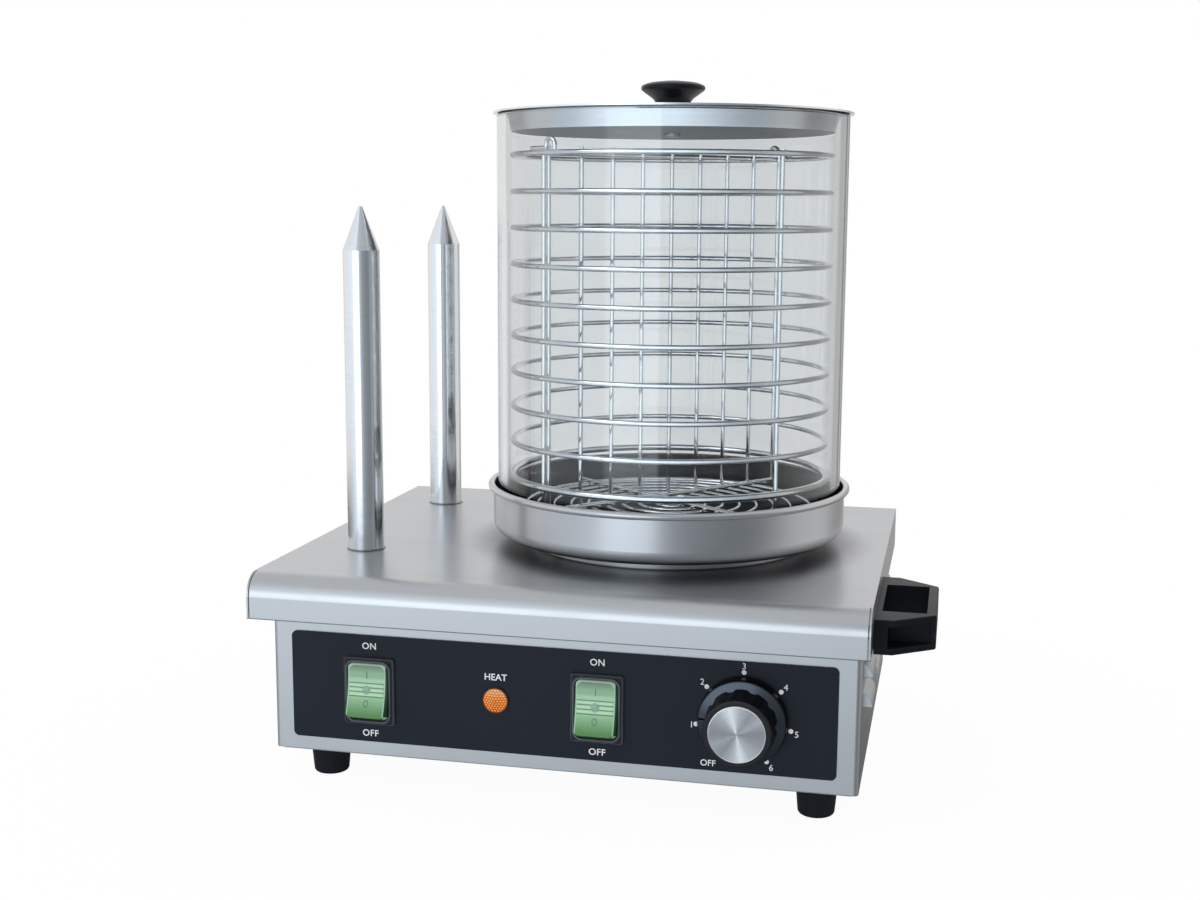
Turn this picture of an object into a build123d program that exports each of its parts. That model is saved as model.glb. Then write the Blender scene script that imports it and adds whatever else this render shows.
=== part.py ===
from build123d import *
from math import asin, cos, degrees, radians, sin, sqrt
import os

# Hot dog steamer for a shop counter. Millimetres, +Z up, front towards -Y.
# The pieces are drawn about the centre of the housing and saved with the origin
# on the counter, under the middle of the whole outline.

# ---- Sheet metal and clearances ----
sheet = 1.0
part_gap = 0.3            # between pieces that lift or turn past each other
running_gap = 0.05        # radial, a pin in its bearing
set_down = 0.1            # how far welded wires sink into each other

# ---- Housing ----
foot_height = 18.5
foot_top_radius = 11.3
foot_bottom_radius = 9.6
foot_inset = 23.0
housing_width = 319.0
housing_depth = 248.0
housing_height = 101.0
housing_bend = 2.5
housing_lip = 12.0
base_margin = 2.0
base_slot_length = 40.0
base_slot_width = 4.0
base_slot_pitch = 12.0
base_slot_count = 7

louvre_length = 33.0
louvre_pitch = 60.0
louvre_columns = 4
louvre_height = 7.6
louvre_throw = 5.0
louvre_row_pitch = 15.9
louvre_rows = 2
louvre_drop = 39.8        # top sheet to the middle of the upper row
louvre_middle_y = -1.5

# ---- Top plate ----
top_side_overhang = 5.0
top_front_overhang = 22.0
top_rear_overhang = 5.0
top_flange = 24.0
top_nose_radius = 12.0
top_seam = 0.5

# ---- Control panel ----
panel_width = 296.5
panel_height = 59.5
panel_thickness = 1.2
panel_corner = 3.0
panel_middle_drop = 64.5  # top sheet to the panel's middle
control_drop = 65.4       # top sheet to the line through switches, lamp and knob

first_switch_inset = 44.75
knob_inset = 48.25        # both from the panel's ends
second_switch_spacing = 77.0  # from the knob
lamp_spacing = 71.0       # from the first switch
bezel_width = 28.4
bezel_height = 37.2
bezel_thickness = 2.2
rim_margin = 1.4
rim_height = 1.3
window_width = 22.9
window_height = 32.4
window_corner = 3.6
switch_wall = 1.2
switch_body_depth = 26.0
well_depth = 13.0
rocker_tilt = 11.0
rocker_pivot_depth = 5.0  # behind the rim's front
rocker_crown = 8.9        # pivot to the front corners
rocker_dish = 2.1
rocker_heel = 4.0
rocker_edge = 0.7
rocker_pin_radius = 1.5
rocker_pin_length = 0.9
switch_tab_thickness = 0.8
switch_tab_width = 6.3
switch_tab_length = 8.0
switch_tab_pitch = 9.0

lamp_lens_radius = 7.2
lamp_lens_rise = 3.4
lamp_body_radius = 6.3
lamp_body_length = 22.0
lamp_nut_radius = 9.0
lamp_nut_thickness = 3.0

knob_stand_off = 0.8
knob_skirt_radius = 23.0
knob_skirt_thickness = 7.5
knob_grip_radius = 18.6
knob_grip_end_radius = 17.6
knob_reach = 24.6         # panel to the knob's face
knob_flutes = 10
knob_flute_radius = 4.2
knob_flute_depth = 1.1
knob_cap_radius = 14.7
knob_cap_thickness = 0.8
shaft_radius = 3.0
shaft_flat = 1.5
shaft_grip = 14.0         # how deep the shaft goes into the knob
bush_radius = 5.0
bush_reach = 1.0          # past the panel's face
thermostat_width = 44.0
thermostat_depth = 32.0
thermostat_height = 38.0
thermostat_screw_pitch = 28.0
capillary_radius = 1.0
capillary_bend = 5.0
bulb_radius = 3.0
bulb_length = 60.0
bulb_offset = 25.0

# ---- Heater and water pan ----
tower_inset = 123.0       # axis of pan, glass, basket and cover, from the housing's right side
pan_seat_radius = 82.0
pan_seat_width = 8.0
pan_seat_height = 6.0
heater_radius = 70.0
heater_thickness = 10.0
element_radius = 52.0
element_tube_radius = 3.25
element_gap_angle = 50.0
element_bend = 8.0
element_leg = 22.0
clamp_length = 120.0
clamp_width = 20.0
clamp_thickness = 2.0
heater_nut_across = 10.0
heater_nut_height = 5.0
stud_radius = 3.0
stud_length = 26.0
pan_wall = 1.0
pan_gap = 1.6             # between the glass and the pan's wall
pan_corner = 8.0
pan_height = 27.7         # pan's underside to the middle of the rolled rim
pan_bead_radius = 2.0

# ---- Glass ----
glass_radius = 100.0
glass_wall = 5.0
glass_height = 235.7

# ---- Basket ----
basket_gap = 2.5          # between the rings and the glass
basket_turn = 50.5        # direction of the dividing grid, degrees from +X
ring_wire = 1.5
base_ring_wire = 2.0
ring_count = 10
ring_pitch = 20.2
base_ring_height = 34.0   # pan floor to the lowest ring
upright_wire = 1.15
upright_top = 2.2         # above the top ring
divider_wire = 1.15
divider_gap = 0.7         # last wires to the uprights
divider_spaces = 8
divider_top = 4.2
crossbar_wire = 1.5
crossbar_height = 17.1    # pan floor to the lower crossbar
spiral_wire = 1.1
spiral_pitch = 10.0
spiral_start = 4.5
spiral_turns = 8
lug_wire = 1.15
lug_radius = 3.4
lug_bend = 1.6
lug_tail_start = -4.6     # degrees past the upright, anticlockwise
lug_tail_end = 2.6

# ---- Cover ----
cover_sheet = 1.0
cover_lip_width = 2.0     # past the glass
cover_dish_depth = 11.2
cover_dish_gap = 0.7
cover_dish_taper = 2.6
cover_screw_radius = 2.5
cover_screw_length = 16.0
cover_screw_head_radius = 4.5
cover_screw_head_height = 2.4
knob_neck_radius = 10.0
knob_head_radius = 18.2
knob_head_height = 28.5
knob_rim_drop = 4.6
knob_neck_height = 15.0

# ---- Bun spikes ----
spike_inset = 32.5        # from the housing's side
spike_front_inset = 57.0  # from the housing's front
spike_pitch = 144.5
spike_radius = 10.3
spike_height = 194.0
spike_cone_height = 24.4
spike_tip_radius = 1.0
spike_bore = 4.5
spike_stud_radius = 7.0
spike_stud_length = 14.0
spike_collar_radius = 11.0
spike_collar_height = 0.8
spike_heater_length = 120.0
spike_nut_across = 22.0
spike_nut_height = 6.0

# ---- Side handle ----
handle_y = -74.0
handle_drop = 18.3        # top sheet to the handle's middle
handle_height = 18.0
handle_reach = 30.6
handle_base_length = 96.0
handle_foot = 9.5         # straight part of each leg, from the flange outwards
handle_bar_length = 63.0
handle_bar = 5.0
handle_back = 3.0
handle_gap_length = 58.0
handle_pocket_depth = 2.6
handle_pocket_height = 11.0
handle_screw_pitch = 79.0
handle_edge = 1.0

# ---- Small hardware ----
screw_radius = 2.0
screw_head_radius = 3.8
screw_head_height = 2.4
nut_across = 7.0
nut_height = 3.2
gland_inset = 49.5        # from the housing's left side
gland_radius = 9.0
gland_thread_radius = 5.4
gland_bore_radius = 3.4
gland_hex_length = 5.0
gland_reach = 13.0
gland_thread_length = 8.0
gland_nut_height = 4.0
gland_height = 24.0       # above the housing's bottom
terminal_length = 40.0
terminal_width = 18.0
terminal_height = 16.0
terminal_gap = 30.0       # behind it, to the rear panel
terminal_hole_radius = 2.5
terminal_hole_depth = 4.0

# ---- Levels and planes worked out from the sizes above ----
half_width = housing_width / 2
half_depth = housing_depth / 2
housing_bottom = foot_height + sheet
housing_top = housing_bottom + housing_height
top_z = housing_top + sheet
front_y = -half_depth
rear_y = half_depth
panel_y = front_y - panel_thickness
control_z = top_z - control_drop
lid_side = half_width + top_side_overhang
lid_front = front_y - top_front_overhang
lid_rear = rear_y + top_rear_overhang
tower_x = half_width - tower_inset
spike_x = spike_inset - half_width
spike_y = (front_y + spike_front_inset, front_y + spike_front_inset + spike_pitch)
knob_x = panel_width / 2 - knob_inset
switch_x = (first_switch_inset - panel_width / 2, knob_x - second_switch_spacing)
lamp_x = switch_x[0] + lamp_spacing
gland_x = gland_inset - half_width
foot_x = half_width - foot_inset
foot_y = half_depth - foot_inset

pan_bottom = top_z + pan_seat_height
pan_floor = pan_bottom + pan_wall
pan_inner = glass_radius + pan_gap
pan_outer = pan_inner + pan_wall
pan_rim_z = pan_bottom + pan_height
pan_corner_inner = pan_corner - pan_wall
glass_on_corner = glass_radius - (pan_inner - pan_corner_inner)
glass_lift = pan_corner_inner - sqrt(pan_corner_inner**2 - glass_on_corner**2)
glass_bottom = pan_floor + glass_lift + part_gap
glass_top = glass_bottom + glass_height
glass_inner = glass_radius - glass_wall

basket_bottom = pan_floor + part_gap
ring_radius = glass_inner - basket_gap - ring_wire
ring_inner = ring_radius - ring_wire
base_ring_z = pan_floor + base_ring_height
top_ring_z = base_ring_z + (ring_count - 1) * ring_pitch
upright_radius = ring_inner - upright_wire + set_down
divider_end = upright_radius - upright_wire - divider_gap - divider_wire
rail_offset = divider_wire + crossbar_wire - set_down
rail_half = sqrt((ring_inner + set_down) ** 2 - rail_offset**2)
lower_bar_z = pan_floor + crossbar_height
upper_bar_z = lower_bar_z + 2 * crossbar_wire - set_down
bar_half = upright_radius - upright_wire + set_down
floor_z = lower_bar_z - crossbar_wire - spiral_wire + set_down
floor_ring_z = lower_bar_z - 2 * crossbar_wire + set_down
basket_frame = Plane((tower_x, 0, 0)).rotated((0, 0, basket_turn))

cover_z = glass_top + part_gap
dish_z = cover_z + cover_sheet - cover_dish_depth

# Middle of the whole outline: lid to side handle, knob cap to cable gland.
outline_front = panel_y - knob_reach - knob_cap_thickness / 2
outline_rear = rear_y + sheet + gland_reach
middle_x = handle_reach / 2
middle_y = (outline_front + outline_rear) / 2

os.makedirs("parts", exist_ok=True)


def save(part, name):
    placed = part.moved(Location((-middle_x, -middle_y, 0)))
    placed.label = name
    export_step(placed, f"parts/{name}.step")


def across(x, z):
    """Plane on the panel's face at (x, z), looking at the object from the front."""
    return Plane((x, panel_y, z), x_dir=(1, 0, 0), z_dir=(0, -1, 0))


def wall_hole(radius, x, z):
    """Round hole through the panel and the housing's front, inside a part block."""
    with BuildSketch(across(x, z).offset(1)) as outline:
        Circle(radius)
    extrude(outline.sketch, amount=-(panel_thickness + sheet + 2), mode=Mode.SUBTRACT)


def wall_window(width, height, x, z):
    """Rectangular cut-out through the panel and the housing's front."""
    with BuildSketch(across(x, z).offset(1)) as outline:
        Rectangle(width, height)
    extrude(outline.sketch, amount=-(panel_thickness + sheet + 2), mode=Mode.SUBTRACT)


def control_openings():
    """What both the panel and the housing's front are cut out for."""
    for x in switch_x:
        wall_window(switch_body_width, switch_body_height, x, control_z)
    wall_hole(lamp_body_radius, lamp_x, control_z)
    wall_hole(bush_radius, knob_x, control_z)


def revolved(points, axis_x=0.0, axis_y=0.0):
    """Turn a closed outline of (radius, height) points about a vertical axis."""
    with BuildSketch(Plane((axis_x, axis_y, 0), x_dir=(1, 0, 0), z_dir=(0, -1, 0))) as outline:
        with BuildLine():
            Polyline(*points, close=True)
        make_face()
    revolve(outline.sketch, axis=Axis((axis_x, axis_y, 0), (0, 0, 1)))


def rod(radius, bottom, height, x=0.0, y=0.0):
    """Vertical round bar inside a part block."""
    with BuildSketch(Plane((x, y, bottom))) as outline:
        Circle(radius)
    extrude(outline.sketch, amount=height)


def bored(radius, bottom, height, x=0.0, y=0.0):
    """Vertical round hole inside a part block."""
    with BuildSketch(Plane((x, y, bottom))) as outline:
        Circle(radius)
    extrude(outline.sketch, amount=height, mode=Mode.SUBTRACT)


def hexagon(across_flats, bottom, height, x=0.0, y=0.0):
    """Upright hexagonal bar inside a part block."""
    with BuildSketch(Plane((x, y, bottom))) as outline:
        RegularPolygon(across_flats / 2, 6, major_radius=False)
    extrude(outline.sketch, amount=height)


# ======== Housing ========
switch_body_width = window_width + 2 * switch_wall
switch_body_height = window_height + 2 * switch_wall


def louvre(x_plane, upper_z, start_y):
    """One pressed hood on the +X wall, open downwards."""
    along = Plane((x_plane, start_y, upper_z), x_dir=(1, 0, 0), z_dir=(0, 1, 0))
    mid = 0.62
    with BuildSketch(along) as hood:
        with BuildLine():
            ThreePointArc((0, 0), (louvre_throw * mid, louvre_height * (1 - mid)),
                          (louvre_throw, louvre_height))
            Polyline((louvre_throw, louvre_height), (-sheet, louvre_height), (-sheet, 0), (0, 0))
        make_face()
    extrude(hood.sketch, amount=louvre_length)
    with BuildSketch(along.offset(sheet)) as hollow:
        with BuildLine():
            ThreePointArc((-sheet, sheet), ((louvre_throw - sheet) * mid, sheet + louvre_height * (1 - mid)),
                          (louvre_throw - sheet, louvre_height + 1))
            Polyline((louvre_throw - sheet, louvre_height + 1), (-sheet - 1, louvre_height + 1),
                     (-sheet - 1, sheet), (-sheet, sheet))
        make_face()
    extrude(hollow.sketch, amount=louvre_length - 2 * sheet, mode=Mode.SUBTRACT)


with BuildPart() as housing_shell:
    with BuildSketch(Plane.XY.offset(housing_bottom)):
        with BuildLine():
            Polyline((-half_width, rear_y), (-half_width, front_y), (half_width, front_y),
                     (half_width, rear_y), close=True)
        make_face()
    extrude(amount=housing_height)
    fillet(housing_shell.edges().filter_by(Axis.Z).sort_by(Axis.Y)[:2], housing_bend)
    inside = Location((0, 0, housing_bottom + sheet))
    with Locations(inside):
        Box(housing_width - 2 * sheet, housing_depth - 2 * sheet, housing_height - 2 * sheet,
            align=(Align.CENTER, Align.CENTER, Align.MIN), mode=Mode.SUBTRACT)
    with Locations(Location((0, 0, housing_bottom))):
        Box(housing_width - 2 * housing_lip, housing_depth - 2 * housing_lip, housing_height,
            align=(Align.CENTER, Align.CENTER, Align.MIN), mode=Mode.SUBTRACT)
    with Locations(Location((0, rear_y, housing_bottom + housing_lip))):
        Box(housing_width - 2 * housing_lip, 2 * housing_lip, housing_height - 2 * housing_lip,
            align=(Align.CENTER, Align.CENTER, Align.MIN), mode=Mode.SUBTRACT)
    first_y = louvre_middle_y - (louvre_columns - 1) * louvre_pitch / 2 - louvre_length / 2
    for row in range(louvre_rows):
        for column in range(louvre_columns):
            upper = top_z - louvre_drop - row * louvre_row_pitch + louvre_height / 2
            louvre(half_width, upper, first_y + column * louvre_pitch)
    split(bisect_by=Plane.YZ, keep=Keep.TOP)
    mirror(about=Plane.YZ)
    control_openings()
save(housing_shell.part, "housing_shell")

rear_panel_height = housing_height - 2 * base_margin
rear_screw_x = half_width - housing_lip / 2
rear_screw_z = (housing_bottom + housing_lip / 2, housing_top - top_flange - 8)
with BuildPart() as rear_panel:
    rear_middle = (0, rear_y, housing_bottom + housing_height / 2)
    with BuildSketch(Plane(rear_middle, x_dir=(-1, 0, 0), z_dir=(0, 1, 0))):
        RectangleRounded(housing_width - 2 * base_margin, rear_panel_height, housing_bend)
    extrude(amount=sheet)
    with BuildSketch(Plane((gland_x, rear_y, housing_bottom + gland_height), z_dir=(0, 1, 0))):
        Circle(gland_thread_radius)
    extrude(amount=sheet, mode=Mode.SUBTRACT)
    for x in (-rear_screw_x, rear_screw_x):
        for z in rear_screw_z:
            with BuildSketch(Plane((x, rear_y, z), z_dir=(0, 1, 0))):
                Circle(screw_radius)
            extrude(amount=sheet, mode=Mode.SUBTRACT)
save(rear_panel.part, "rear_panel")

with BuildPart() as rear_panel_screws:
    for x in (-rear_screw_x, rear_screw_x):
        for z in rear_screw_z:
            with BuildSketch(Plane((x, rear_y + sheet, z), z_dir=(0, 1, 0))):
                Circle(screw_head_radius)
            extrude(amount=screw_head_height)
            with BuildSketch(Plane((x, rear_y, z), z_dir=(0, 1, 0))):
                Circle(screw_radius)
            extrude(amount=sheet)
    fillet(rear_panel_screws.faces().group_by(Axis.Y)[-1].edges(), 0.8)
save(rear_panel_screws.part, "rear_panel_screws")

with BuildPart() as base_plate:
    with BuildSketch(Plane.XY.offset(foot_height)):
        RectangleRounded(housing_width - 2 * base_margin, housing_depth - 2 * base_margin, housing_bend)
        with GridLocations(2 * foot_x, 2 * foot_y, 2, 2):
            Circle(screw_radius, mode=Mode.SUBTRACT)
        with Locations((tower_x, 0)):
            with GridLocations(base_slot_pitch, 1, base_slot_count, 1):
                SlotOverall(base_slot_length, base_slot_width, rotation=90, mode=Mode.SUBTRACT)
    extrude(amount=sheet)
save(base_plate.part, "base_plate")

# ======== Feet ========
foot_bore = screw_head_radius + 1.2
foot_recess = 8.0
foot_edge = 2.0
for side, x in (("left", -foot_x), ("right", foot_x)):
    for end, y in (("front", -foot_y), ("rear", foot_y)):
        with BuildPart() as foot:
            with BuildSketch(Plane((x, y, foot_height))):
                Circle(foot_top_radius)
            with BuildSketch(Plane((x, y, 0))):
                Circle(foot_bottom_radius)
            loft()
            fillet(foot.edges().group_by(Axis.Z)[0], foot_edge)
            bored(foot_bore, 0, foot_recess, x, y)
            bored(screw_radius, foot_recess, foot_height - foot_recess, x, y)
        save(foot.part, f"foot_{end}_{side}")

with BuildPart() as foot_screws:
    for x in (-foot_x, foot_x):
        for y in (-foot_y, foot_y):
            rod(screw_head_radius, foot_recess - screw_head_height, screw_head_height, x, y)
            rod(screw_radius, foot_recess, housing_bottom + nut_height + 1 - foot_recess, x, y)
save(foot_screws.part, "foot_screws")

with BuildPart() as foot_nuts:
    for x in (-foot_x, foot_x):
        for y in (-foot_y, foot_y):
            hexagon(nut_across, housing_bottom, nut_height, x, y)
            bored(screw_radius, housing_bottom, nut_height, x, y)
save(foot_nuts.part, "foot_nuts")

# ======== Top plate ========
with BuildPart() as top_plate:
    flat_length = lid_rear - lid_front - top_nose_radius
    with Locations(Location((0, lid_rear - flat_length / 2, top_z - sheet))):
        Box(2 * lid_side, flat_length, sheet, align=(Align.CENTER, Align.CENTER, Align.MIN))
    nose_half = lid_side - sheet - top_seam
    with BuildSketch(Plane((-nose_half, lid_front, top_z), x_dir=(0, 1, 0), z_dir=(1, 0, 0))):
        with BuildLine():
            CenterArc((top_nose_radius, -top_nose_radius), top_nose_radius, 90, 90)
            Line((0, -top_nose_radius), (0, -top_flange))
            Line((0, -top_flange), (sheet, -top_flange))
            Line((sheet, -top_flange), (sheet, -top_nose_radius))
            CenterArc((top_nose_radius, -top_nose_radius), top_nose_radius - sheet, 90, 90)
            Line((top_nose_radius, -sheet), (top_nose_radius, 0))
        make_face()
    extrude(amount=2 * nose_half)
    for x in (-lid_side, lid_side - sheet):
        with BuildSketch(Plane((x, lid_front, top_z), x_dir=(0, 1, 0), z_dir=(1, 0, 0))):
            with BuildLine():
                CenterArc((top_nose_radius, -top_nose_radius), top_nose_radius, 90, 90)
                Polyline((0, -top_nose_radius), (0, -top_flange), (lid_rear - lid_front, -top_flange),
                         (lid_rear - lid_front, 0), (top_nose_radius, 0))
            make_face()
        extrude(amount=sheet)
    with Locations(Location((0, lid_rear - sheet / 2, top_z - top_flange))):
        Box(2 * lid_side, sheet, top_flange, align=(Align.CENTER, Align.CENTER, Align.MIN))
    bored(heater_radius + 1, top_z - sheet, sheet, tower_x, 0)
    for y in spike_y:
        bored(spike_stud_radius, top_z - sheet, sheet, spike_x, y)
    for offset in (-handle_screw_pitch / 2, handle_screw_pitch / 2):
        with BuildSketch(Plane((lid_side - sheet, handle_y + offset, top_z - handle_drop), z_dir=(1, 0, 0))):
            Circle(screw_radius)
        extrude(amount=sheet, mode=Mode.SUBTRACT)
save(top_plate.part, "top_plate")

# ======== Control panel ========
with BuildPart() as control_panel:
    with BuildSketch(Plane((0, front_y, top_z - panel_middle_drop), x_dir=(1, 0, 0), z_dir=(0, -1, 0))):
        RectangleRounded(panel_width, panel_height, panel_corner)
    extrude(amount=panel_thickness)
    control_openings()
save(control_panel.part, "control_panel")

# ======== Rocker switches ========
rim_front = panel_y - bezel_thickness - rim_height
pivot_y = rim_front + rocker_pivot_depth
rocker_width = window_width - 2 * part_gap
rocker_reach = window_height / 2 - part_gap
tilt_sin = sin(radians(rocker_tilt))
tilt_cos = cos(radians(rocker_tilt))
crown_half = (rocker_reach - rocker_crown * tilt_sin) / tilt_cos
heel_half = (rocker_reach - rocker_heel * tilt_sin) / tilt_cos
pin_reach = rocker_width / 2 + rocker_pin_length
for side, x in zip(("left", "right"), switch_x):
    with BuildPart() as switch_frame:
        with BuildSketch(across(x, control_z)):
            RectangleRounded(bezel_width, bezel_height, 1.5)
        extrude(amount=bezel_thickness)
        chamfer(switch_frame.faces().sort_by(Axis.Y)[0].edges(), 0.6)
        with BuildSketch(across(x, control_z).offset(bezel_thickness)):
            RectangleRounded(window_width + 2 * rim_margin, window_height + 2 * rim_margin,
                             window_corner + rim_margin)
        extrude(amount=rim_height)
        with BuildSketch(across(x, control_z)):
            Rectangle(switch_body_width, switch_body_height)
        extrude(amount=-switch_body_depth)
        with BuildSketch(across(x, control_z).offset(bezel_thickness + rim_height)):
            RectangleRounded(window_width, window_height, window_corner)
        extrude(amount=-(well_depth + bezel_thickness + rim_height), mode=Mode.SUBTRACT)
        with BuildSketch(Plane((x, pivot_y, control_z), z_dir=(1, 0, 0))):
            Circle(rocker_pin_radius + running_gap)
        extrude(amount=pin_reach + 0.1, both=True, mode=Mode.SUBTRACT)
    save(switch_frame.part, f"{side}_switch_frame")

    side_view = Plane((x, pivot_y, control_z), x_dir=(0, -1, 0), z_dir=(1, 0, 0))
    with BuildPart() as rocker:
        with BuildSketch(side_view.rotated((-rocker_tilt, 0, 0))):
            with BuildLine():
                ThreePointArc((rocker_crown, crown_half), (rocker_crown - rocker_dish, 0),
                              (rocker_crown, -crown_half))
                Polyline((rocker_crown, -crown_half), (0, -rocker_reach), (-rocker_heel, -heel_half),
                         (-rocker_heel, heel_half), (0, rocker_reach), (rocker_crown, crown_half))
            make_face()
        extrude(amount=rocker_width / 2, both=True)
        side_edges = rocker.faces().filter_by(Axis.X).edges()
        fillet([edge for edge in side_edges if abs(edge.center().Z - control_z) > rocker_reach / 2],
               window_corner - part_gap)
        fillet(rocker.faces().sort_by(Axis.Y)[0].edges(), rocker_edge)
        with BuildSketch(Plane((x, pivot_y, control_z), z_dir=(1, 0, 0))):
            Circle(rocker_pin_radius)
        extrude(amount=pin_reach, both=True)
    save(rocker.part, f"{side}_rocker")

with BuildPart() as switch_tabs:
    for x in switch_x:
        for offset in (-switch_tab_pitch, 0, switch_tab_pitch):
            with Locations(Location((x, panel_y + switch_body_depth, control_z + offset))):
                Box(switch_tab_width, switch_tab_length, switch_tab_thickness,
                    align=(Align.CENTER, Align.MIN, Align.CENTER))
save(switch_tabs.part, "switch_tabs")

# ======== Pilot lamp ========
lens_flange = 1.0
with BuildPart() as pilot_lens:
    with BuildSketch(across(lamp_x, control_z)):
        Circle(lamp_lens_radius)
    extrude(amount=lens_flange)
    with BuildSketch(Plane((lamp_x, panel_y - lens_flange, control_z), x_dir=(1, 0, 0), z_dir=(0, 0, 1))):
        with BuildLine():
            RadiusArc((lamp_lens_radius, 0), (0, -(lamp_lens_rise - lens_flange)),
                      -(lamp_lens_radius**2 + (lamp_lens_rise - lens_flange) ** 2)
                      / (2 * (lamp_lens_rise - lens_flange)))
            Polyline((0, -(lamp_lens_rise - lens_flange)), (0, 0), (lamp_lens_radius, 0))
        make_face()
    revolve(axis=Axis((lamp_x, panel_y, control_z), (0, 1, 0)))
save(pilot_lens.part, "pilot_lens")

with BuildPart() as pilot_lamp_body:
    with BuildSketch(across(lamp_x, control_z)):
        Circle(lamp_body_radius)
    extrude(amount=-lamp_body_length)
save(pilot_lamp_body.part, "pilot_lamp_body")

with BuildPart() as pilot_lamp_nut:
    with BuildSketch(Plane((lamp_x, front_y + sheet, control_z), z_dir=(0, 1, 0))):
        RegularPolygon(lamp_nut_radius, 6)
        Circle(lamp_body_radius, mode=Mode.SUBTRACT)
    extrude(amount=lamp_nut_thickness)
save(pilot_lamp_nut.part, "pilot_lamp_nut")

# ======== Thermostat and knob ========
inner_front = front_y + sheet
thermostat_rear = inner_front + thermostat_depth
with BuildPart() as thermostat_body:
    with Locations(Location((knob_x, inner_front, control_z))):
        Box(thermostat_width, thermostat_depth, thermostat_height,
            align=(Align.CENTER, Align.MIN, Align.CENTER))
    with BuildSketch(across(knob_x, control_z).offset(-(panel_thickness + sheet))):
        Circle(bush_radius)
    extrude(amount=panel_thickness + sheet + min(bush_reach, knob_stand_off / 2))
    with BuildSketch(across(knob_x, control_z).offset(bush_reach + 1)):
        Circle(shaft_radius + running_gap)
    extrude(amount=-(bush_reach + 1 + panel_thickness + sheet + thermostat_depth / 2), mode=Mode.SUBTRACT)
save(thermostat_body.part, "thermostat_body")

knob_back = panel_y - knob_stand_off
shaft_tip = knob_back - shaft_grip
shaft_root = inner_front + thermostat_depth / 2 - part_gap
with BuildPart() as thermostat_shaft:
    with BuildSketch(Plane((knob_x, shaft_root, control_z), x_dir=(1, 0, 0), z_dir=(0, -1, 0))):
        Circle(shaft_radius)
    extrude(amount=shaft_root - shaft_tip)
    with Locations(Location((knob_x, shaft_tip, control_z + shaft_flat))):
        Box(2 * shaft_radius, shaft_grip, shaft_radius, align=(Align.CENTER, Align.MIN, Align.MIN),
            mode=Mode.SUBTRACT)
save(thermostat_shaft.part, "thermostat_shaft")

knob_view = Plane((knob_x, knob_back, control_z), x_dir=(1, 0, 0), z_dir=(0, -1, 0))
grip_length = knob_reach - knob_stand_off - knob_skirt_thickness
with BuildPart() as thermostat_knob:
    with BuildSketch(knob_view):
        Circle(knob_skirt_radius)
    extrude(amount=knob_skirt_thickness)
    fillet(thermostat_knob.faces().sort_by(Axis.Y)[0].edges(), 2.0)
    with BuildSketch(knob_view.offset(knob_skirt_thickness)):
        Circle(knob_grip_radius)
    with BuildSketch(knob_view.offset(knob_skirt_thickness + grip_length)):
        Circle(knob_grip_end_radius)
    loft()
    fillet(thermostat_knob.faces().sort_by(Axis.Y)[0].edges(), 1.0)
    with BuildSketch(knob_view.offset(knob_skirt_thickness)):
        with PolarLocations(knob_grip_radius + knob_flute_radius - knob_flute_depth, knob_flutes):
            Circle(knob_flute_radius)
    extrude(amount=grip_length, mode=Mode.SUBTRACT)
    with BuildSketch(knob_view.offset(knob_skirt_thickness + grip_length)):
        Circle(knob_cap_radius)
    extrude(amount=-knob_cap_thickness / 2, mode=Mode.SUBTRACT)
    with BuildSketch(knob_view):
        Circle(shaft_radius)
        with Locations((0, shaft_flat)):
            Rectangle(2 * shaft_radius, shaft_radius, align=(Align.CENTER, Align.MIN), mode=Mode.SUBTRACT)
    extrude(amount=shaft_grip, mode=Mode.SUBTRACT)
save(thermostat_knob.part, "thermostat_knob")

with BuildPart() as knob_cap:
    with BuildSketch(knob_view.offset(knob_skirt_thickness + grip_length - knob_cap_thickness / 2)):
        Circle(knob_cap_radius)
    extrude(amount=knob_cap_thickness)
    fillet(knob_cap.faces().sort_by(Axis.Y)[0].edges(), knob_cap_thickness / 3)
save(knob_cap.part, "knob_cap")

with BuildPart() as thermostat_screws:
    for offset in (-thermostat_screw_pitch / 2, thermostat_screw_pitch / 2):
        with BuildSketch(Plane((knob_x + offset, thermostat_rear, control_z), z_dir=(0, 1, 0))):
            Circle(screw_head_radius)
        extrude(amount=screw_head_height)
save(thermostat_screws.part, "thermostat_screws")

# ======== Water pan and its heater ========
with BuildPart() as pan_seat:
    with BuildSketch(Plane((tower_x, 0, top_z))):
        Circle(pan_seat_radius)
        Circle(pan_seat_radius - pan_seat_width, mode=Mode.SUBTRACT)
    extrude(amount=pan_seat_height)
    fillet(pan_seat.edges().group_by(Axis.Z)[-1].sort_by(SortBy.RADIUS)[-1], 0.8)
save(pan_seat.part, "pan_seat")

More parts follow.
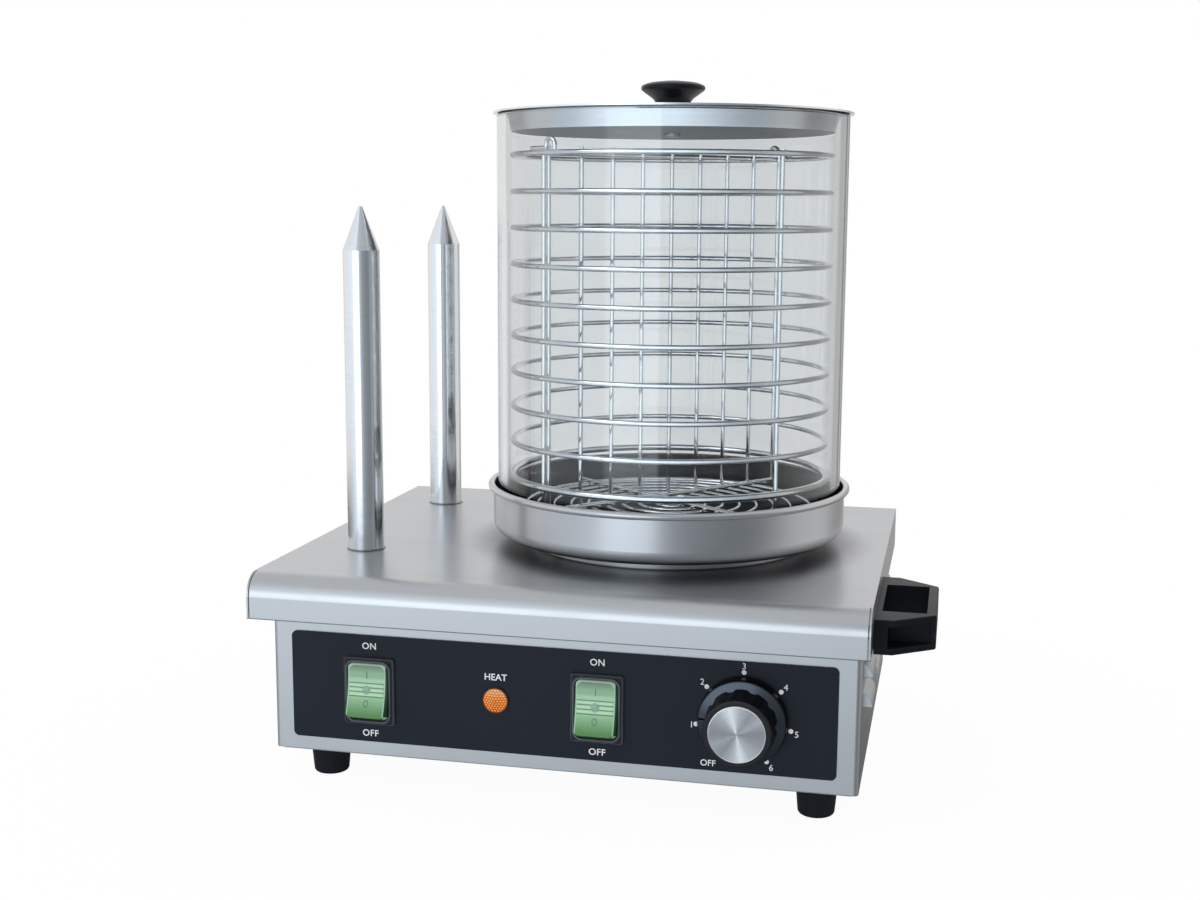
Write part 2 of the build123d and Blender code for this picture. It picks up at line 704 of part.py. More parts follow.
with BuildPart() as water_pan:
    with BuildSketch(Plane((tower_x, 0, 0), x_dir=(1, 0, 0), z_dir=(0, -1, 0))):
        with BuildLine():
            Line((0, pan_bottom), (pan_outer - pan_corner, pan_bottom))
            CenterArc((pan_outer - pan_corner, pan_bottom + pan_corner), pan_corner, -90, 90)
            Line((pan_outer, pan_bottom + pan_corner), (pan_outer, pan_rim_z))
            Line((pan_outer, pan_rim_z), (pan_inner, pan_rim_z))
            Line((pan_inner, pan_rim_z), (pan_inner, pan_bottom + pan_corner))
            CenterArc((pan_outer - pan_corner, pan_bottom + pan_corner), pan_corner_inner, -90, 90)
            Line((pan_outer - pan_corner, pan_floor), (0, pan_floor))
            Line((0, pan_floor), (0, pan_bottom))
        make_face()
        with Locations((pan_inner + pan_bead_radius, pan_rim_z)):
            Circle(pan_bead_radius)
        with Locations((0, pan_bottom)):
            Rectangle(stud_radius, stud_length, align=(Align.MIN, Align.MAX))
    revolve(axis=Axis((tower_x, 0, 0), (0, 0, 1)))
save(water_pan.part, "water_pan")

heater_bottom = pan_bottom - heater_thickness
with BuildPart() as heater_plate:
    with BuildSketch(Plane((tower_x, 0, heater_bottom))):
        Circle(heater_radius)
        Circle(stud_radius, mode=Mode.SUBTRACT)
    extrude(amount=heater_thickness)
save(heater_plate.part, "heater_plate")

element_z = heater_bottom - element_tube_radius
with BuildPart() as heating_element:
    end_angle = element_gap_angle / 2
    outwards = Vector(1, 0, 0).rotate(Axis.Z, end_angle)
    ring_end = Vector(tower_x, 0, element_z) + outwards * element_radius
    with BuildSketch(Plane(ring_end, z_dir=Vector(0, 1, 0).rotate(Axis.Z, end_angle))) as ring_tube:
        Circle(element_tube_radius)
    revolve(ring_tube.sketch, axis=Axis((tower_x, 0, 0), (0, 0, 1)), revolution_arc=360 - element_gap_angle)
    for side in (1, -1):
        outwards = Vector(1, 0, 0).rotate(Axis.Z, side * end_angle)
        into_gap = Vector(0, -side, 0).rotate(Axis.Z, side * end_angle)
        ring_end = Vector(tower_x, 0, element_z) + outwards * element_radius
        bend_axis = Axis(ring_end - Vector(0, 0, element_bend), outwards)
        with BuildSketch(Plane(ring_end, z_dir=into_gap)) as bend_tube:
            Circle(element_tube_radius)
        revolve(bend_tube.sketch, axis=bend_axis, revolution_arc=90 * side)
        leg = ring_end + into_gap * element_bend
        rod(element_tube_radius, element_z - element_leg, element_leg - element_bend, leg.X, leg.Y)
save(heating_element.part, "heating_element")

clamp_top = element_z - element_tube_radius
with BuildPart() as heater_clamp:
    with BuildSketch(Plane((tower_x, 0, clamp_top - clamp_thickness))):
        SlotOverall(clamp_length, clamp_width, rotation=90)
        Circle(stud_radius, mode=Mode.SUBTRACT)
    extrude(amount=clamp_thickness)
save(heater_clamp.part, "heater_clamp")

with BuildPart() as heater_nut:
    nut_bottom = clamp_top - clamp_thickness - heater_nut_height
    hexagon(heater_nut_across, nut_bottom, heater_nut_height, tower_x, 0)
    bored(stud_radius, nut_bottom, heater_nut_height, tower_x, 0)
save(heater_nut.part, "heater_nut")

bulb_x = tower_x + bulb_offset
bulb_z = heater_bottom - bulb_radius
with BuildPart() as sensor_bulb:
    with BuildSketch(Plane((bulb_x, bulb_length / 2, bulb_z), x_dir=(1, 0, 0), z_dir=(0, -1, 0))):
        Circle(bulb_radius)
    extrude(amount=bulb_length)
save(sensor_bulb.part, "sensor_bulb")

tube_start = (bulb_x, -bulb_length / 2, bulb_z)
tube_end = (knob_x, thermostat_rear, control_z + thermostat_height / 3)
tube_low = tube_end[2]
with BuildPart() as capillary_tube:
    with BuildLine():
        tube_path = FilletPolyline(
            tube_start,
            (tube_start[0], tube_start[1] - 1.2 * capillary_bend, tube_start[2]),
            (tube_start[0], tube_start[1] - 1.2 * capillary_bend, tube_low),
            (tube_end[0], tube_end[1] + 3 * capillary_bend, tube_low),
            tube_end,
            radius=capillary_bend,
        )
    with BuildSketch(Plane(tube_start, z_dir=(0, -1, 0))):
        Circle(capillary_radius)
    sweep(path=tube_path)
save(capillary_tube.part, "capillary_tube")

# ======== Glass cylinder ========
with BuildPart() as glass_cylinder:
    with BuildSketch(Plane((tower_x, 0, glass_bottom))):
        Circle(glass_radius)
        Circle(glass_inner, mode=Mode.SUBTRACT)
    extrude(amount=glass_height)
    fillet(glass_cylinder.edges(), 1.2)
save(glass_cylinder.part, "glass_cylinder")


# ======== Basket ========
def wire_ring(radius, wire, height):
    """Round wire bent into a ring about the tower's axis."""
    with Locations(Location((tower_x, 0, height))):
        Torus(radius, wire)


def ring_section(turn):
    """Plane across a wire lying on the top ring, turn degrees from +X."""
    middle = Vector(tower_x, 0, lug_z) + Vector(ring_radius, 0, 0).rotate(Axis.Z, turn)
    return Plane(middle, z_dir=Vector(0, 1, 0).rotate(Axis.Z, turn))


def straight_wire(wire, start, end):
    """Round wire from start to end, both in the basket's own frame."""
    a = basket_frame.from_local_coords(Vector(*start))
    b = basket_frame.from_local_coords(Vector(*end))
    with BuildSketch(Plane(a, z_dir=b - a)) as outline:
        Circle(wire)
    extrude(outline.sketch, amount=(b - a).length)


with BuildPart() as basket_rings:
    for step in range(1, ring_count):
        wire_ring(ring_radius, ring_wire, base_ring_z + step * ring_pitch)
save(basket_rings.part, "basket_rings")

with BuildPart() as basket_base_ring:
    wire_ring(ring_inner + base_ring_wire, base_ring_wire, base_ring_z)
save(basket_base_ring.part, "basket_base_ring")

with BuildPart() as basket_uprights:
    for turn in range(4):
        local = Vector(upright_radius, 0, 0).rotate(Axis.Z, 90 * turn)
        straight_wire(upright_wire, (local.X, local.Y, basket_bottom),
                      (local.X, local.Y, top_ring_z + upright_top))
save(basket_uprights.part, "basket_uprights")

with BuildPart() as divider_wires:
    for step in range(divider_spaces + 1):
        place = (2 * step / divider_spaces - 1) * divider_end
        straight_wire(divider_wire, (place, 0, upper_bar_z + crossbar_wire - set_down),
                      (place, 0, top_ring_z + divider_top))
save(divider_wires.part, "divider_wires")

with BuildPart() as divider_top_rail:
    straight_wire(crossbar_wire, (-rail_half, rail_offset, top_ring_z), (rail_half, rail_offset, top_ring_z))
save(divider_top_rail.part, "divider_top_rail")

with BuildPart() as floor_bar_upper:
    straight_wire(crossbar_wire, (-bar_half, 0, upper_bar_z), (bar_half, 0, upper_bar_z))
save(floor_bar_upper.part, "floor_bar_upper")

with BuildPart() as floor_bar_lower:
    straight_wire(crossbar_wire, (0, -bar_half, lower_bar_z), (0, bar_half, lower_bar_z))
save(floor_bar_lower.part, "floor_bar_lower")

# The floor spiral is half circles about two centres, so that each runs into the next.
centre_shift = spiral_pitch / 4
with BuildPart() as floor_spiral:
    with BuildLine(Plane((tower_x, 0, floor_z))) as spiral_line:
        radius = spiral_start
        for turn in range(spiral_turns):
            CenterArc((-centre_shift, 0), radius, 0, 180)
            CenterArc((centre_shift, 0), radius + 2 * centre_shift, 180, 180)
            radius += 4 * centre_shift
    spiral_end = radius - centre_shift
    with BuildSketch(Plane((tower_x + spiral_start - centre_shift, 0, floor_z), z_dir=(0, 1, 0))):
        Circle(spiral_wire)
    sweep(path=spiral_line.wires()[0])
save(floor_spiral.part, "floor_spiral")

with BuildPart() as floor_ring:
    wire_ring(spiral_end + spiral_wire + crossbar_wire - set_down, crossbar_wire, floor_ring_z)
save(floor_ring.part, "floor_ring")

lug_z = top_ring_z + ring_wire + lug_wire - set_down
lug_foot_z = top_ring_z + ring_wire - set_down
with BuildPart() as lifting_lugs:
    for turn in (0, 180):
        start = basket_turn + turn + lug_tail_start
        end = basket_turn + turn + lug_tail_end
        with BuildSketch(ring_section(start)) as tail_section:
            Circle(lug_wire)
        revolve(tail_section.sketch, axis=Axis((tower_x, 0, 0), (0, 0, 1)), revolution_arc=end - start)
        outwards = Vector(1, 0, 0).rotate(Axis.Z, end)
        along = Vector(0, 1, 0).rotate(Axis.Z, end)
        up = Vector(0, 0, 1)
        tail_end = Vector(tower_x, 0, lug_z) + outwards * ring_radius
        with BuildSketch(ring_section(end)) as bend_section:
            Circle(lug_wire)
        revolve(bend_section.sketch, axis=Axis(tail_end + up * lug_bend, outwards), revolution_arc=90)
        arch_foot = tail_end + up * lug_bend + along * lug_bend
        with BuildSketch(Plane(arch_foot, z_dir=up)) as arch_section:
            Circle(lug_wire)
        revolve(arch_section.sketch, axis=Axis(arch_foot + along * lug_radius, outwards), revolution_arc=-180)
        far_foot = arch_foot + along * 2 * lug_radius
        rod(lug_wire, lug_foot_z, far_foot.Z - lug_foot_z, far_foot.X, far_foot.Y)
save(lifting_lugs.part, "lifting_lugs")

# ======== Cover ========
dish_top_radius = glass_inner - cover_dish_gap
dish_radius = dish_top_radius - cover_dish_taper
with BuildPart() as cover:
    revolved([
        (0, dish_z), (dish_radius, dish_z), (dish_top_radius, cover_z),
        (glass_radius + cover_lip_width, cover_z), (glass_radius + cover_lip_width, cover_z + cover_sheet),
        (dish_top_radius - cover_sheet, cover_z + cover_sheet),
        (dish_radius - cover_sheet, dish_z + cover_sheet), (0, dish_z + cover_sheet)], tower_x)
    bored(cover_screw_radius, dish_z, cover_sheet, tower_x, 0)
save(cover.part, "cover")

knob_foot = dish_z + cover_sheet
knob_top = knob_foot + knob_head_height
knob_rim = knob_top - knob_rim_drop
with BuildPart() as cover_knob:
    with BuildSketch(Plane((tower_x, 0, 0), x_dir=(1, 0, 0), z_dir=(0, -1, 0))):
        with BuildLine():
            Polyline((0, knob_foot), (knob_neck_radius, knob_foot),
                     (knob_neck_radius, knob_foot + knob_neck_height))
            Spline((knob_neck_radius, knob_foot + knob_neck_height), (knob_neck_radius + 2.2, knob_rim - 5.0),
                   (knob_head_radius - 0.8, knob_rim - 1.2), tangents=[(0, 1), (1, 0.8)])
            ThreePointArc((knob_head_radius - 0.8, knob_rim - 1.2), (knob_head_radius, knob_rim + 0.6),
                          (knob_head_radius - 1.6, knob_rim + 2.2))
            Spline((knob_head_radius - 1.6, knob_rim + 2.2), (knob_neck_radius, knob_top - 0.8),
                   (0, knob_top), tangents=[(-1, 0.6), (-1, 0)])
            Line((0, knob_top), (0, knob_foot))
        make_face()
    revolve(axis=Axis((tower_x, 0, 0), (0, 0, 1)))
    bored(cover_screw_radius, knob_foot, cover_screw_length, tower_x, 0)
save(cover_knob.part, "cover_knob")

with BuildPart() as cover_knob_screw:
    rod(cover_screw_head_radius, dish_z - cover_screw_head_height, cover_screw_head_height, tower_x, 0)
    rod(cover_screw_radius, dish_z, cover_sheet + cover_screw_length, tower_x, 0)
    fillet(cover_knob_screw.edges().group_by(Axis.Z)[0], 1.0)
save(cover_knob_screw.part, "cover_knob_screw")

# ======== Bun spikes ========
for end, y in zip(("front", "rear"), spike_y):
    with BuildPart() as spike:
        revolved([
            (0, top_z - spike_stud_length), (spike_stud_radius, top_z - spike_stud_length),
            (spike_stud_radius, top_z + spike_collar_height), (spike_radius, top_z + spike_collar_height),
            (spike_radius, top_z + spike_height - spike_cone_height),
            (spike_tip_radius, top_z + spike_height), (0, top_z + spike_height)], spike_x, y)
        fillet(spike.edges().group_by(Axis.Z)[-1], spike_tip_radius * 0.8)
        bored(spike_bore, top_z - spike_stud_length, spike_stud_length + spike_heater_length, spike_x, y)
    save(spike.part, f"bun_spike_{end}")

    with BuildPart() as collar:
        with BuildSketch(Plane((spike_x, y, top_z))):
            Circle(spike_collar_radius)
            Circle(spike_stud_radius, mode=Mode.SUBTRACT)
        extrude(amount=spike_collar_height)
        fillet(collar.edges().group_by(Axis.Z)[-1].sort_by(SortBy.RADIUS)[-1], spike_collar_height / 2)
    save(collar.part, f"spike_collar_{end}")

    with BuildPart() as spike_heater:
        rod(spike_bore, top_z - spike_stud_length, spike_heater_length + spike_stud_length, spike_x, y)
    save(spike_heater.part, f"spike_heater_{end}")

with BuildPart() as spike_nuts:
    for y in spike_y:
        hexagon(spike_nut_across, top_z - sheet - spike_nut_height, spike_nut_height, spike_x, y)
        bored(spike_stud_radius, top_z - sheet - spike_nut_height, spike_nut_height, spike_x, y)
save(spike_nuts.part, "spike_nuts")

# ======== Side handle ========
handle_z = top_z - handle_drop
with BuildPart() as side_handle:
    with BuildSketch(Plane((lid_side, handle_y, handle_z - handle_height / 2))):
        with BuildLine():
            Polyline((0, -handle_base_length / 2), (handle_foot, -handle_base_length / 2),
                     (handle_reach, -handle_bar_length / 2), (handle_reach, handle_bar_length / 2),
                     (handle_foot, handle_base_length / 2), (0, handle_base_length / 2), close=True)
        make_face()
    extrude(amount=handle_height)
    fillet(side_handle.edges().filter_by(Axis.Z).group_by(Axis.X)[-1], handle_edge * 2)
    level_edges = side_handle.faces().filter_by(Axis.Z).edges()
    fillet([edge for edge in level_edges if edge.center().X > lid_side + 0.1], handle_edge)
    with Locations(Location((lid_side + handle_back, handle_y, handle_z))):
        Box(handle_reach - handle_bar - handle_back, handle_gap_length, handle_height,
            align=(Align.MIN, Align.CENTER, Align.CENTER), mode=Mode.SUBTRACT)
    pocket_left = handle_foot - handle_pocket_depth
    for way in (-1, 1):
        floor_y = handle_y + way * (handle_gap_length / 2 + handle_pocket_depth)
        with Locations(Location((lid_side + pocket_left, floor_y, handle_z))):
            Box(handle_reach - pocket_left - handle_pocket_depth, handle_base_length,
                handle_pocket_height,
                align=(Align.MIN, Align.MAX if way < 0 else Align.MIN, Align.CENTER), mode=Mode.SUBTRACT)
    for offset in (-handle_screw_pitch / 2, handle_screw_pitch / 2):
        with BuildSketch(Plane((lid_side, handle_y + offset, handle_z), z_dir=(1, 0, 0))):
            Circle(screw_radius)
        extrude(amount=handle_foot - handle_pocket_depth - 1, mode=Mode.SUBTRACT)
save(side_handle.part, "side_handle")

with BuildPart() as handle_screws:
    for offset in (-handle_screw_pitch / 2, handle_screw_pitch / 2):
        with BuildSketch(Plane((lid_side - sheet, handle_y + offset, handle_z), z_dir=(1, 0, 0))):
            Circle(screw_radius)
        extrude(amount=sheet + handle_foot - handle_pocket_depth - 1)
        with BuildSketch(Plane((lid_side - sheet, handle_y + offset, handle_z), z_dir=(-1, 0, 0))):
            Circle(screw_head_radius)
        extrude(amount=screw_head_height)
save(handle_screws.part, "handle_screws")

# ======== Mains inlet ========
gland_z = housing_bottom + gland_height
with BuildPart() as cable_gland:
    with BuildSketch(Plane((gland_x, rear_y + sheet, gland_z), z_dir=(0, 1, 0))):
        RegularPolygon(gland_radius, 6)
    extrude(amount=gland_hex_length)
    with BuildSketch(Plane((gland_x, rear_y + sheet + gland_hex_length, gland_z), z_dir=(0, 1, 0))):
        Circle(gland_radius * 0.8)
    extrude(amount=gland_reach - gland_hex_length, taper=12)
    with BuildSketch(Plane((gland_x, rear_y + sheet, gland_z), z_dir=(0, -1, 0))):
        Circle(gland_thread_radius)
    extrude(amount=gland_thread_length)
    with BuildSketch(Plane((gland_x, rear_y + sheet - gland_thread_length, gland_z), z_dir=(0, 1, 0))):
        Circle(gland_bore_radius)
    extrude(amount=gland_reach + gland_thread_length, mode=Mode.SUBTRACT)
save(cable_gland.part, "cable_gland")

with BuildPart() as gland_nut:
    with BuildSketch(Plane((gland_x, rear_y, gland_z), z_dir=(0, -1, 0))):
        RegularPolygon(gland_radius, 6)
        Circle(gland_thread_radius, mode=Mode.SUBTRACT)
    extrude(amount=gland_nut_height)
save(gland_nut.part, "gland_nut")

terminal_y = rear_y - terminal_gap - terminal_width / 2
with BuildPart() as terminal_block:
    with Locations(Location((gland_x, terminal_y, housing_bottom))):
        Box(terminal_length, terminal_width, terminal_height,
            align=(Align.CENTER, Align.CENTER, Align.MIN))
        with GridLocations(terminal_length / 3, terminal_width / 2, 3, 2):
            with Locations(Location((0, 0, terminal_height))):
                Cylinder(terminal_hole_radius, 2 * terminal_hole_depth, mode=Mode.SUBTRACT)
save(terminal_block.part, "terminal_block")
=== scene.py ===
from math import cos, pi, radians, sin

import bmesh
import bpy
from bpy.props import FloatProperty, FloatVectorProperty, PointerProperty
from mathutils import Matrix, Vector
from mathutils.bvhtree import BVHTree


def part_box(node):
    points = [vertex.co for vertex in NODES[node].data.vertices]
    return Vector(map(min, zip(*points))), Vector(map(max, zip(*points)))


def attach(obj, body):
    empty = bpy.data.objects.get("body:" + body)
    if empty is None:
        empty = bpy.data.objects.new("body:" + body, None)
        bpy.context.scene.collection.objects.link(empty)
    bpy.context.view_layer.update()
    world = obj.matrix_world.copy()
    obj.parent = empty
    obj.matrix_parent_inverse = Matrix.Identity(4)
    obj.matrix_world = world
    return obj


bl_info = {"name": "Hot dog steamer finishes", "version": (1, 0, 0), "blender": (4, 5, 0),
           "location": "View3D > Sidebar > Steamer",
           "description": "Finishes and fine details for a hot dog steamer with bun spikes",
           "category": "Object"}

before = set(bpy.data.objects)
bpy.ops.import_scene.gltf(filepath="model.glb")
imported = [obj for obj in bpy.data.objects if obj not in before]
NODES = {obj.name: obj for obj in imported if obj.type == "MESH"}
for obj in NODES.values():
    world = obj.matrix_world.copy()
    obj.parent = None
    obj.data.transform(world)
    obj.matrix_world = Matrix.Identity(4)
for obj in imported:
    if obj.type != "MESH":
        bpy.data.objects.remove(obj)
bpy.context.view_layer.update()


def screen(red, green, blue):
    """Linear colour for a colour given as it looks on a screen, 0 to 255."""
    return tuple(value / 12.92 if value <= 0.04045 else ((value + 0.055) / 1.055) ** 2.4
                 for value in (red / 255, green / 255, blue / 255))


def middle(node):
    """Middle of a CAD node's box."""
    low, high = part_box(node)
    return (low + high) / 2


# ---- Places taken from the frame ----
PANEL_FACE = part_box("control_panel")[0].y
CONTROL_LINE = middle("pilot_lens").z
TOWER = middle("glass_cylinder")
KNOB = middle("thermostat_knob")
LAMP = middle("pilot_lens")
SWITCHES = {"left": middle("left_switch_frame"), "right": middle("right_switch_frame")}


# ---- Print on the panel and on the knob ----
CAPITAL_SHARE = 0.729                   # a capital's height as a share of its font's size
ON_RISE, OFF_RISE = 0.0249, -0.0239     # each word's middle over the control line
HEAT_RISE = 0.0128
FIRST_DOT_TURN, DOT_STEP = -100, 50     # degrees clockwise from straight up
OFF_TURN, OFF_CIRCLE = -144, 0.0305     # degrees as above, and distance from the knob's axis
POINTER_TURN = pi - 0.06                # radians from +X towards +Z
POINTER_EDGE = (0.028, 0.018)           # radians from its middle, where the line begins and where it is full


# ======== Settings ========
def colour_setting(name, description, default):
    return FloatVectorProperty(name=name, description=description, default=default, size=3, min=0.0, max=1.0,
                               subtype="COLOR")


def share_setting(name, description, default):
    return FloatProperty(name=name, description=description, default=default, min=0.0, max=1.0,
                         subtype="FACTOR")


def length_setting(name, description, default):
    return FloatProperty(name=name, description=description, default=default, min=0.0, precision=5,
                         unit="LENGTH")


class SteamerMetal(bpy.types.PropertyGroup):
    sheet_colour: colour_setting("Sheet steel", "Brushed sheet of housing and lid", (0.580, 0.584, 0.592))
    sheet_roughness: share_setting("Sheet roughness", "Roughness across the brushing", 0.30)
    sheet_grain: share_setting("Sheet grain", "Strength of the brushing", 0.06)
    # Painted shade on the cover's downward-facing underside reaches this far from its axis.
    cover_dish_radius: length_setting("Cover dish radius", "How far the steamed underside of the cover reaches",
                                      0.0935)
    # Painted shadow line in the gap under the lid's lower edge.
    edge_line: length_setting("Edge line", "Height of the dark line at the lid's lower edge", 0.0007)
    # Painted shade and reflection of the pan's dark underside on the lid reach this far from the tower's axis.
    heat_reach: length_setting("Heat reach", "How far from the tower's axis the lid is darkened", 0.124)
    pan_colour: colour_setting("Pan steel", "Outside of the water pan", (0.585, 0.59, 0.60))
    # The pan's inside is painted near black as painted shade.
    pan_inside: colour_setting("Pan inside", "Darkened inside of the water pan", (0.030, 0.030, 0.028))
    pan_roughness: share_setting("Pan roughness", "Roughness of the pan's outside", 0.30)
    cover_colour: colour_setting("Cover steel", "Pressed cover", (0.86, 0.88, 0.90))
    wire_colour: colour_setting("Wire", "Bright wire of the basket", (0.93, 0.94, 0.95))
    wire_roughness: share_setting("Wire roughness", "Roughness of the bright wire", 0.10)
    spike_colour: colour_setting("Spikes", "Polished bun spikes", (0.80, 0.815, 0.83))
    spike_roughness: share_setting("Spike roughness", "Roughness of the bun spikes", 0.13)
    cast_colour: colour_setting("Cast aluminium", "Heater plate", (0.42, 0.42, 0.43))
    element_colour: colour_setting("Heating elements", "Oxidised element tubes", (0.12, 0.105, 0.10))
    brass_colour: colour_setting("Brass", "Contact tabs and sensor", (0.62, 0.45, 0.20))
    screw_colour: colour_setting("Screws", "Plated screws and nuts", (0.50, 0.51, 0.52))


class SteamerControls(bpy.types.PropertyGroup):
    panel_colour: colour_setting("Panel", "Satin control panel", (0.004, 0.008, 0.018))
    print_colour: colour_setting("Print", "White lettering and dots", (0.95, 0.96, 0.97))
    word_height: length_setting("Word height", "Height of ON, OFF and HEAT", 0.0037)
    number_height: length_setting("Number height", "Height of the figures round the knob", 0.0034)
    dot_radius: length_setting("Dot radius", "Dots round the knob", 0.00125)
    dot_circle: length_setting("Dot circle", "Radius of the circle of dots", 0.025)
    print_thickness: length_setting("Print thickness", "Thickness of the print", 0.00006)
    figure_steps: FloatVectorProperty(name="Figure steps",
                                      description="Step from each dot to its figure, across and up", size=12,
                                      subtype="NONE",
                                      default=(-0.0022, -0.0003, -0.0024, 0.0026, 0.0, 0.0034, 0.0024, 0.0027,
                                               0.0030, -0.0014, 0.0024, -0.0029))
    knob_colour: colour_setting("Knob", "Satin face of the control knob", (0.010, 0.012, 0.015))
    skirt_colour: colour_setting("Knob skirt", "Bright black skirt of the control knob", (0.062, 0.072, 0.086))
    # The knob's fluted sides are painted darker than its face as painted shade.
    knob_side: colour_setting("Knob sides", "Fluted sides of the control knob", (0.0015, 0.0015, 0.002))
    cap_colour: colour_setting("Knob cap", "Spun aluminium cap", (0.93, 0.945, 0.96))
    bezel_colour: colour_setting("Switch frame", "Black frame", (0.006, 0.007, 0.009))
    # The line round the rocker is a painted highlight on the frame's rim.
    rim_half_width: length_setting("Rim half width", "Half the width of the line round the rocker", 0.01235)
    rim_half_height: length_setting("Rim half height", "Half the height of the line round the rocker", 0.0168)
    # Painted highlight on the frame's rim, outer bevel and sharp edges.
    bezel_edge: colour_setting("Switch frame edges", "Worn edges of the black frame", screen(96, 101, 110))
    rib_pitch: length_setting("Rib pitch", "Distance between the rocker's ribs", 0.00235)
    rib_width: length_setting("Rib width", "Width of a rib", 0.0016)
    rib_height: length_setting("Rib height", "How far the ribs stand proud", 0.00035)
    dome_radius: length_setting("Dome radius", "Round pad in the rocker's middle", 0.0023)
    mark_width: length_setting("Mark width", "Line width of the I and O marks", 0.0004)
    # The rocker's top and bottom colours are painted light and shade: lighter towards the top, darker towards
    # the bottom.
    rocker_top: colour_setting("Rocker, top", "Pale end of the green rocker", (0.262, 0.452, 0.290))
    rocker_bottom: colour_setting("Rocker, bottom", "Strong end of the green rocker", (0.070, 0.190, 0.063))
    # The lip colour is a painted highlight along the rocker's edge.
    rocker_pale: colour_setting("Rocker, lip", "Pale lip round the rocker", (0.33, 0.46, 0.37))
    # The ribs are painted lighter than the rocker as a painted highlight.
    rib_colour: colour_setting("Ribs", "Bright ribs across the rocker", (0.36, 0.56, 0.38))
    dome_colour: colour_setting("Rocker pad", "Round pad between the ribs", (0.20, 0.33, 0.25))
    mark_colour: colour_setting("Rocker marks", "I and O marks", (0.10, 0.20, 0.11))
    rocker_half_width: length_setting("Rocker half width", "Half the rocker's width", 0.0107)
    rib_place: length_setting("Rib place", "Height of the ribs' middle over the control line", 0.0018)
    rocker_glow: share_setting("Rocker glow", "Light from inside the rocker", 0.32)
    lamp_colour: colour_setting("Lamp", "Orange lens", screen(250, 140, 36))
    lamp_glow: share_setting("Lamp glow", "Light from inside the lens", 0.18)
    honeycomb_pitch: length_setting("Honeycomb pitch", "Cells pressed into the lens", 0.0016)


class SteamerGlass(bpy.types.PropertyGroup):
    glass_colour: colour_setting("Glass", "Tint of the clear cylinder", (0.80, 0.818, 0.824))
    waviness: share_setting("Waviness", "Slow unevenness of the drawn glass", 0.05)


class SteamerMouldings(bpy.types.PropertyGroup):
    handle_colour: colour_setting("Handle", "Moulded side handle", (0.0065, 0.0078, 0.0105))
    cover_knob_colour: colour_setting("Cover knob", "Turned black knob", (0.004, 0.004, 0.005))
    rubber_colour: colour_setting("Feet", "Black rubber feet", (0.014, 0.017, 0.022))
    gland_colour: colour_setting("Cable gland", "Moulded gland", screen(28, 28, 30))
    block_colour: colour_setting("Light mouldings", "Terminal block and thermostat", screen(214, 212, 202))


class SteamerStage(bpy.types.PropertyGroup):
    camera_place: FloatVectorProperty(name="Camera", description="Place of the camera", size=3,
                                      default=(0.1854, -0.8958, 0.3187), subtype="XYZ", unit="LENGTH")
    camera_yaw: FloatProperty(name="Yaw", description="Turn of the camera to the left of +Y",
                              default=radians(12.84), subtype="ANGLE")
    camera_pitch: FloatProperty(name="Pitch", description="Tilt of the camera below the horizon",
                                default=radians(8.95), subtype="ANGLE")
    camera_roll: FloatProperty(name="Roll", description="Roll of the camera", default=radians(0.34),
                               subtype="ANGLE")
    camera_lens: FloatProperty(name="Lens", description="Focal length in millimetres on a 36 mm wide sensor",
                               default=47.331, min=1.0)
    floor_half_width: length_setting("Floor", "Half the floor's width", 2.5)
    floor_shadow: share_setting("Floor shadow", "How much of the shadows the camera sees", 0.04)


# ======== Node helpers ========
def add(tree, kind, sockets=None, **settings):
    """Adds a node. sockets maps an input, by name or number, to a value or to another node's output."""
    made = tree.nodes.new(kind)
    for name, value in settings.items():
        setattr(made, name, value)
    for key, value in (sockets or {}).items():
        if isinstance(value, bpy.types.NodeSocket):
            tree.links.new(value, made.inputs[key])
        else:
            made.inputs[key].default_value = value
    return made


def tree_of(*values):
    """The node tree of the first of these values that is another node's output."""
    return next(value.id_data for value in values if isinstance(value, bpy.types.NodeSocket))


def feed(node, name, value):
    """Links an output to a node's named input."""
    node.id_data.links.new(value, node.inputs[name])


def calc(operation, first, second=0.0, third=None):
    """One step of arithmetic, in the tree of its inputs."""
    sockets = {0: first, 1: second} if third is None else {0: first, 1: second, 2: third}
    return add(tree_of(first, second, third), "ShaderNodeMath", sockets, operation=operation).outputs[0]


def times(first, second):
    return calc("MULTIPLY", first, second)


def minus(first, second):
    return calc("SUBTRACT", first, second)


def plus(first, second):
    return calc("ADD", first, second)


def axes(vector):
    """A node whose outputs are the three parts of a vector."""
    return add(tree_of(vector), "ShaderNodeSeparateXYZ", {0: vector})


def vector_calc(operation, first, second=(0.0, 0.0, 0.0), output=0):
    """One step of vector arithmetic, in the tree of its inputs."""
    made = add(tree_of(first, second), "ShaderNodeVectorMath", {0: first, 1: second}, operation=operation)
    return made.outputs[output]


def spread(value, low, high, to_low=0.0, to_high=1.0, smooth=False):
    """Stretches low..high to to_low..to_high, held at both ends."""
    made = add(tree_of(value), "ShaderNodeMapRange",
               {"Value": value, "From Min": low, "From Max": high, "To Min": to_low, "To Max": to_high},
               interpolation_type="SMOOTHSTEP" if smooth else "LINEAR")
    return made.outputs["Result"]


def tint(factor, first, second, blend="MIX"):
    """Blends two colours."""
    made = add(tree_of(factor, first, second), "ShaderNodeMix", data_type="RGBA", blend_type=blend)
    for index, value in ((0, factor), (6, first), (7, second)):
        if isinstance(value, bpy.types.NodeSocket):
            made.id_data.links.new(value, made.inputs[index])
        else:
            made.inputs[index].default_value = value if index == 0 else (*value[:3], 1.0)
    return made.outputs[2]


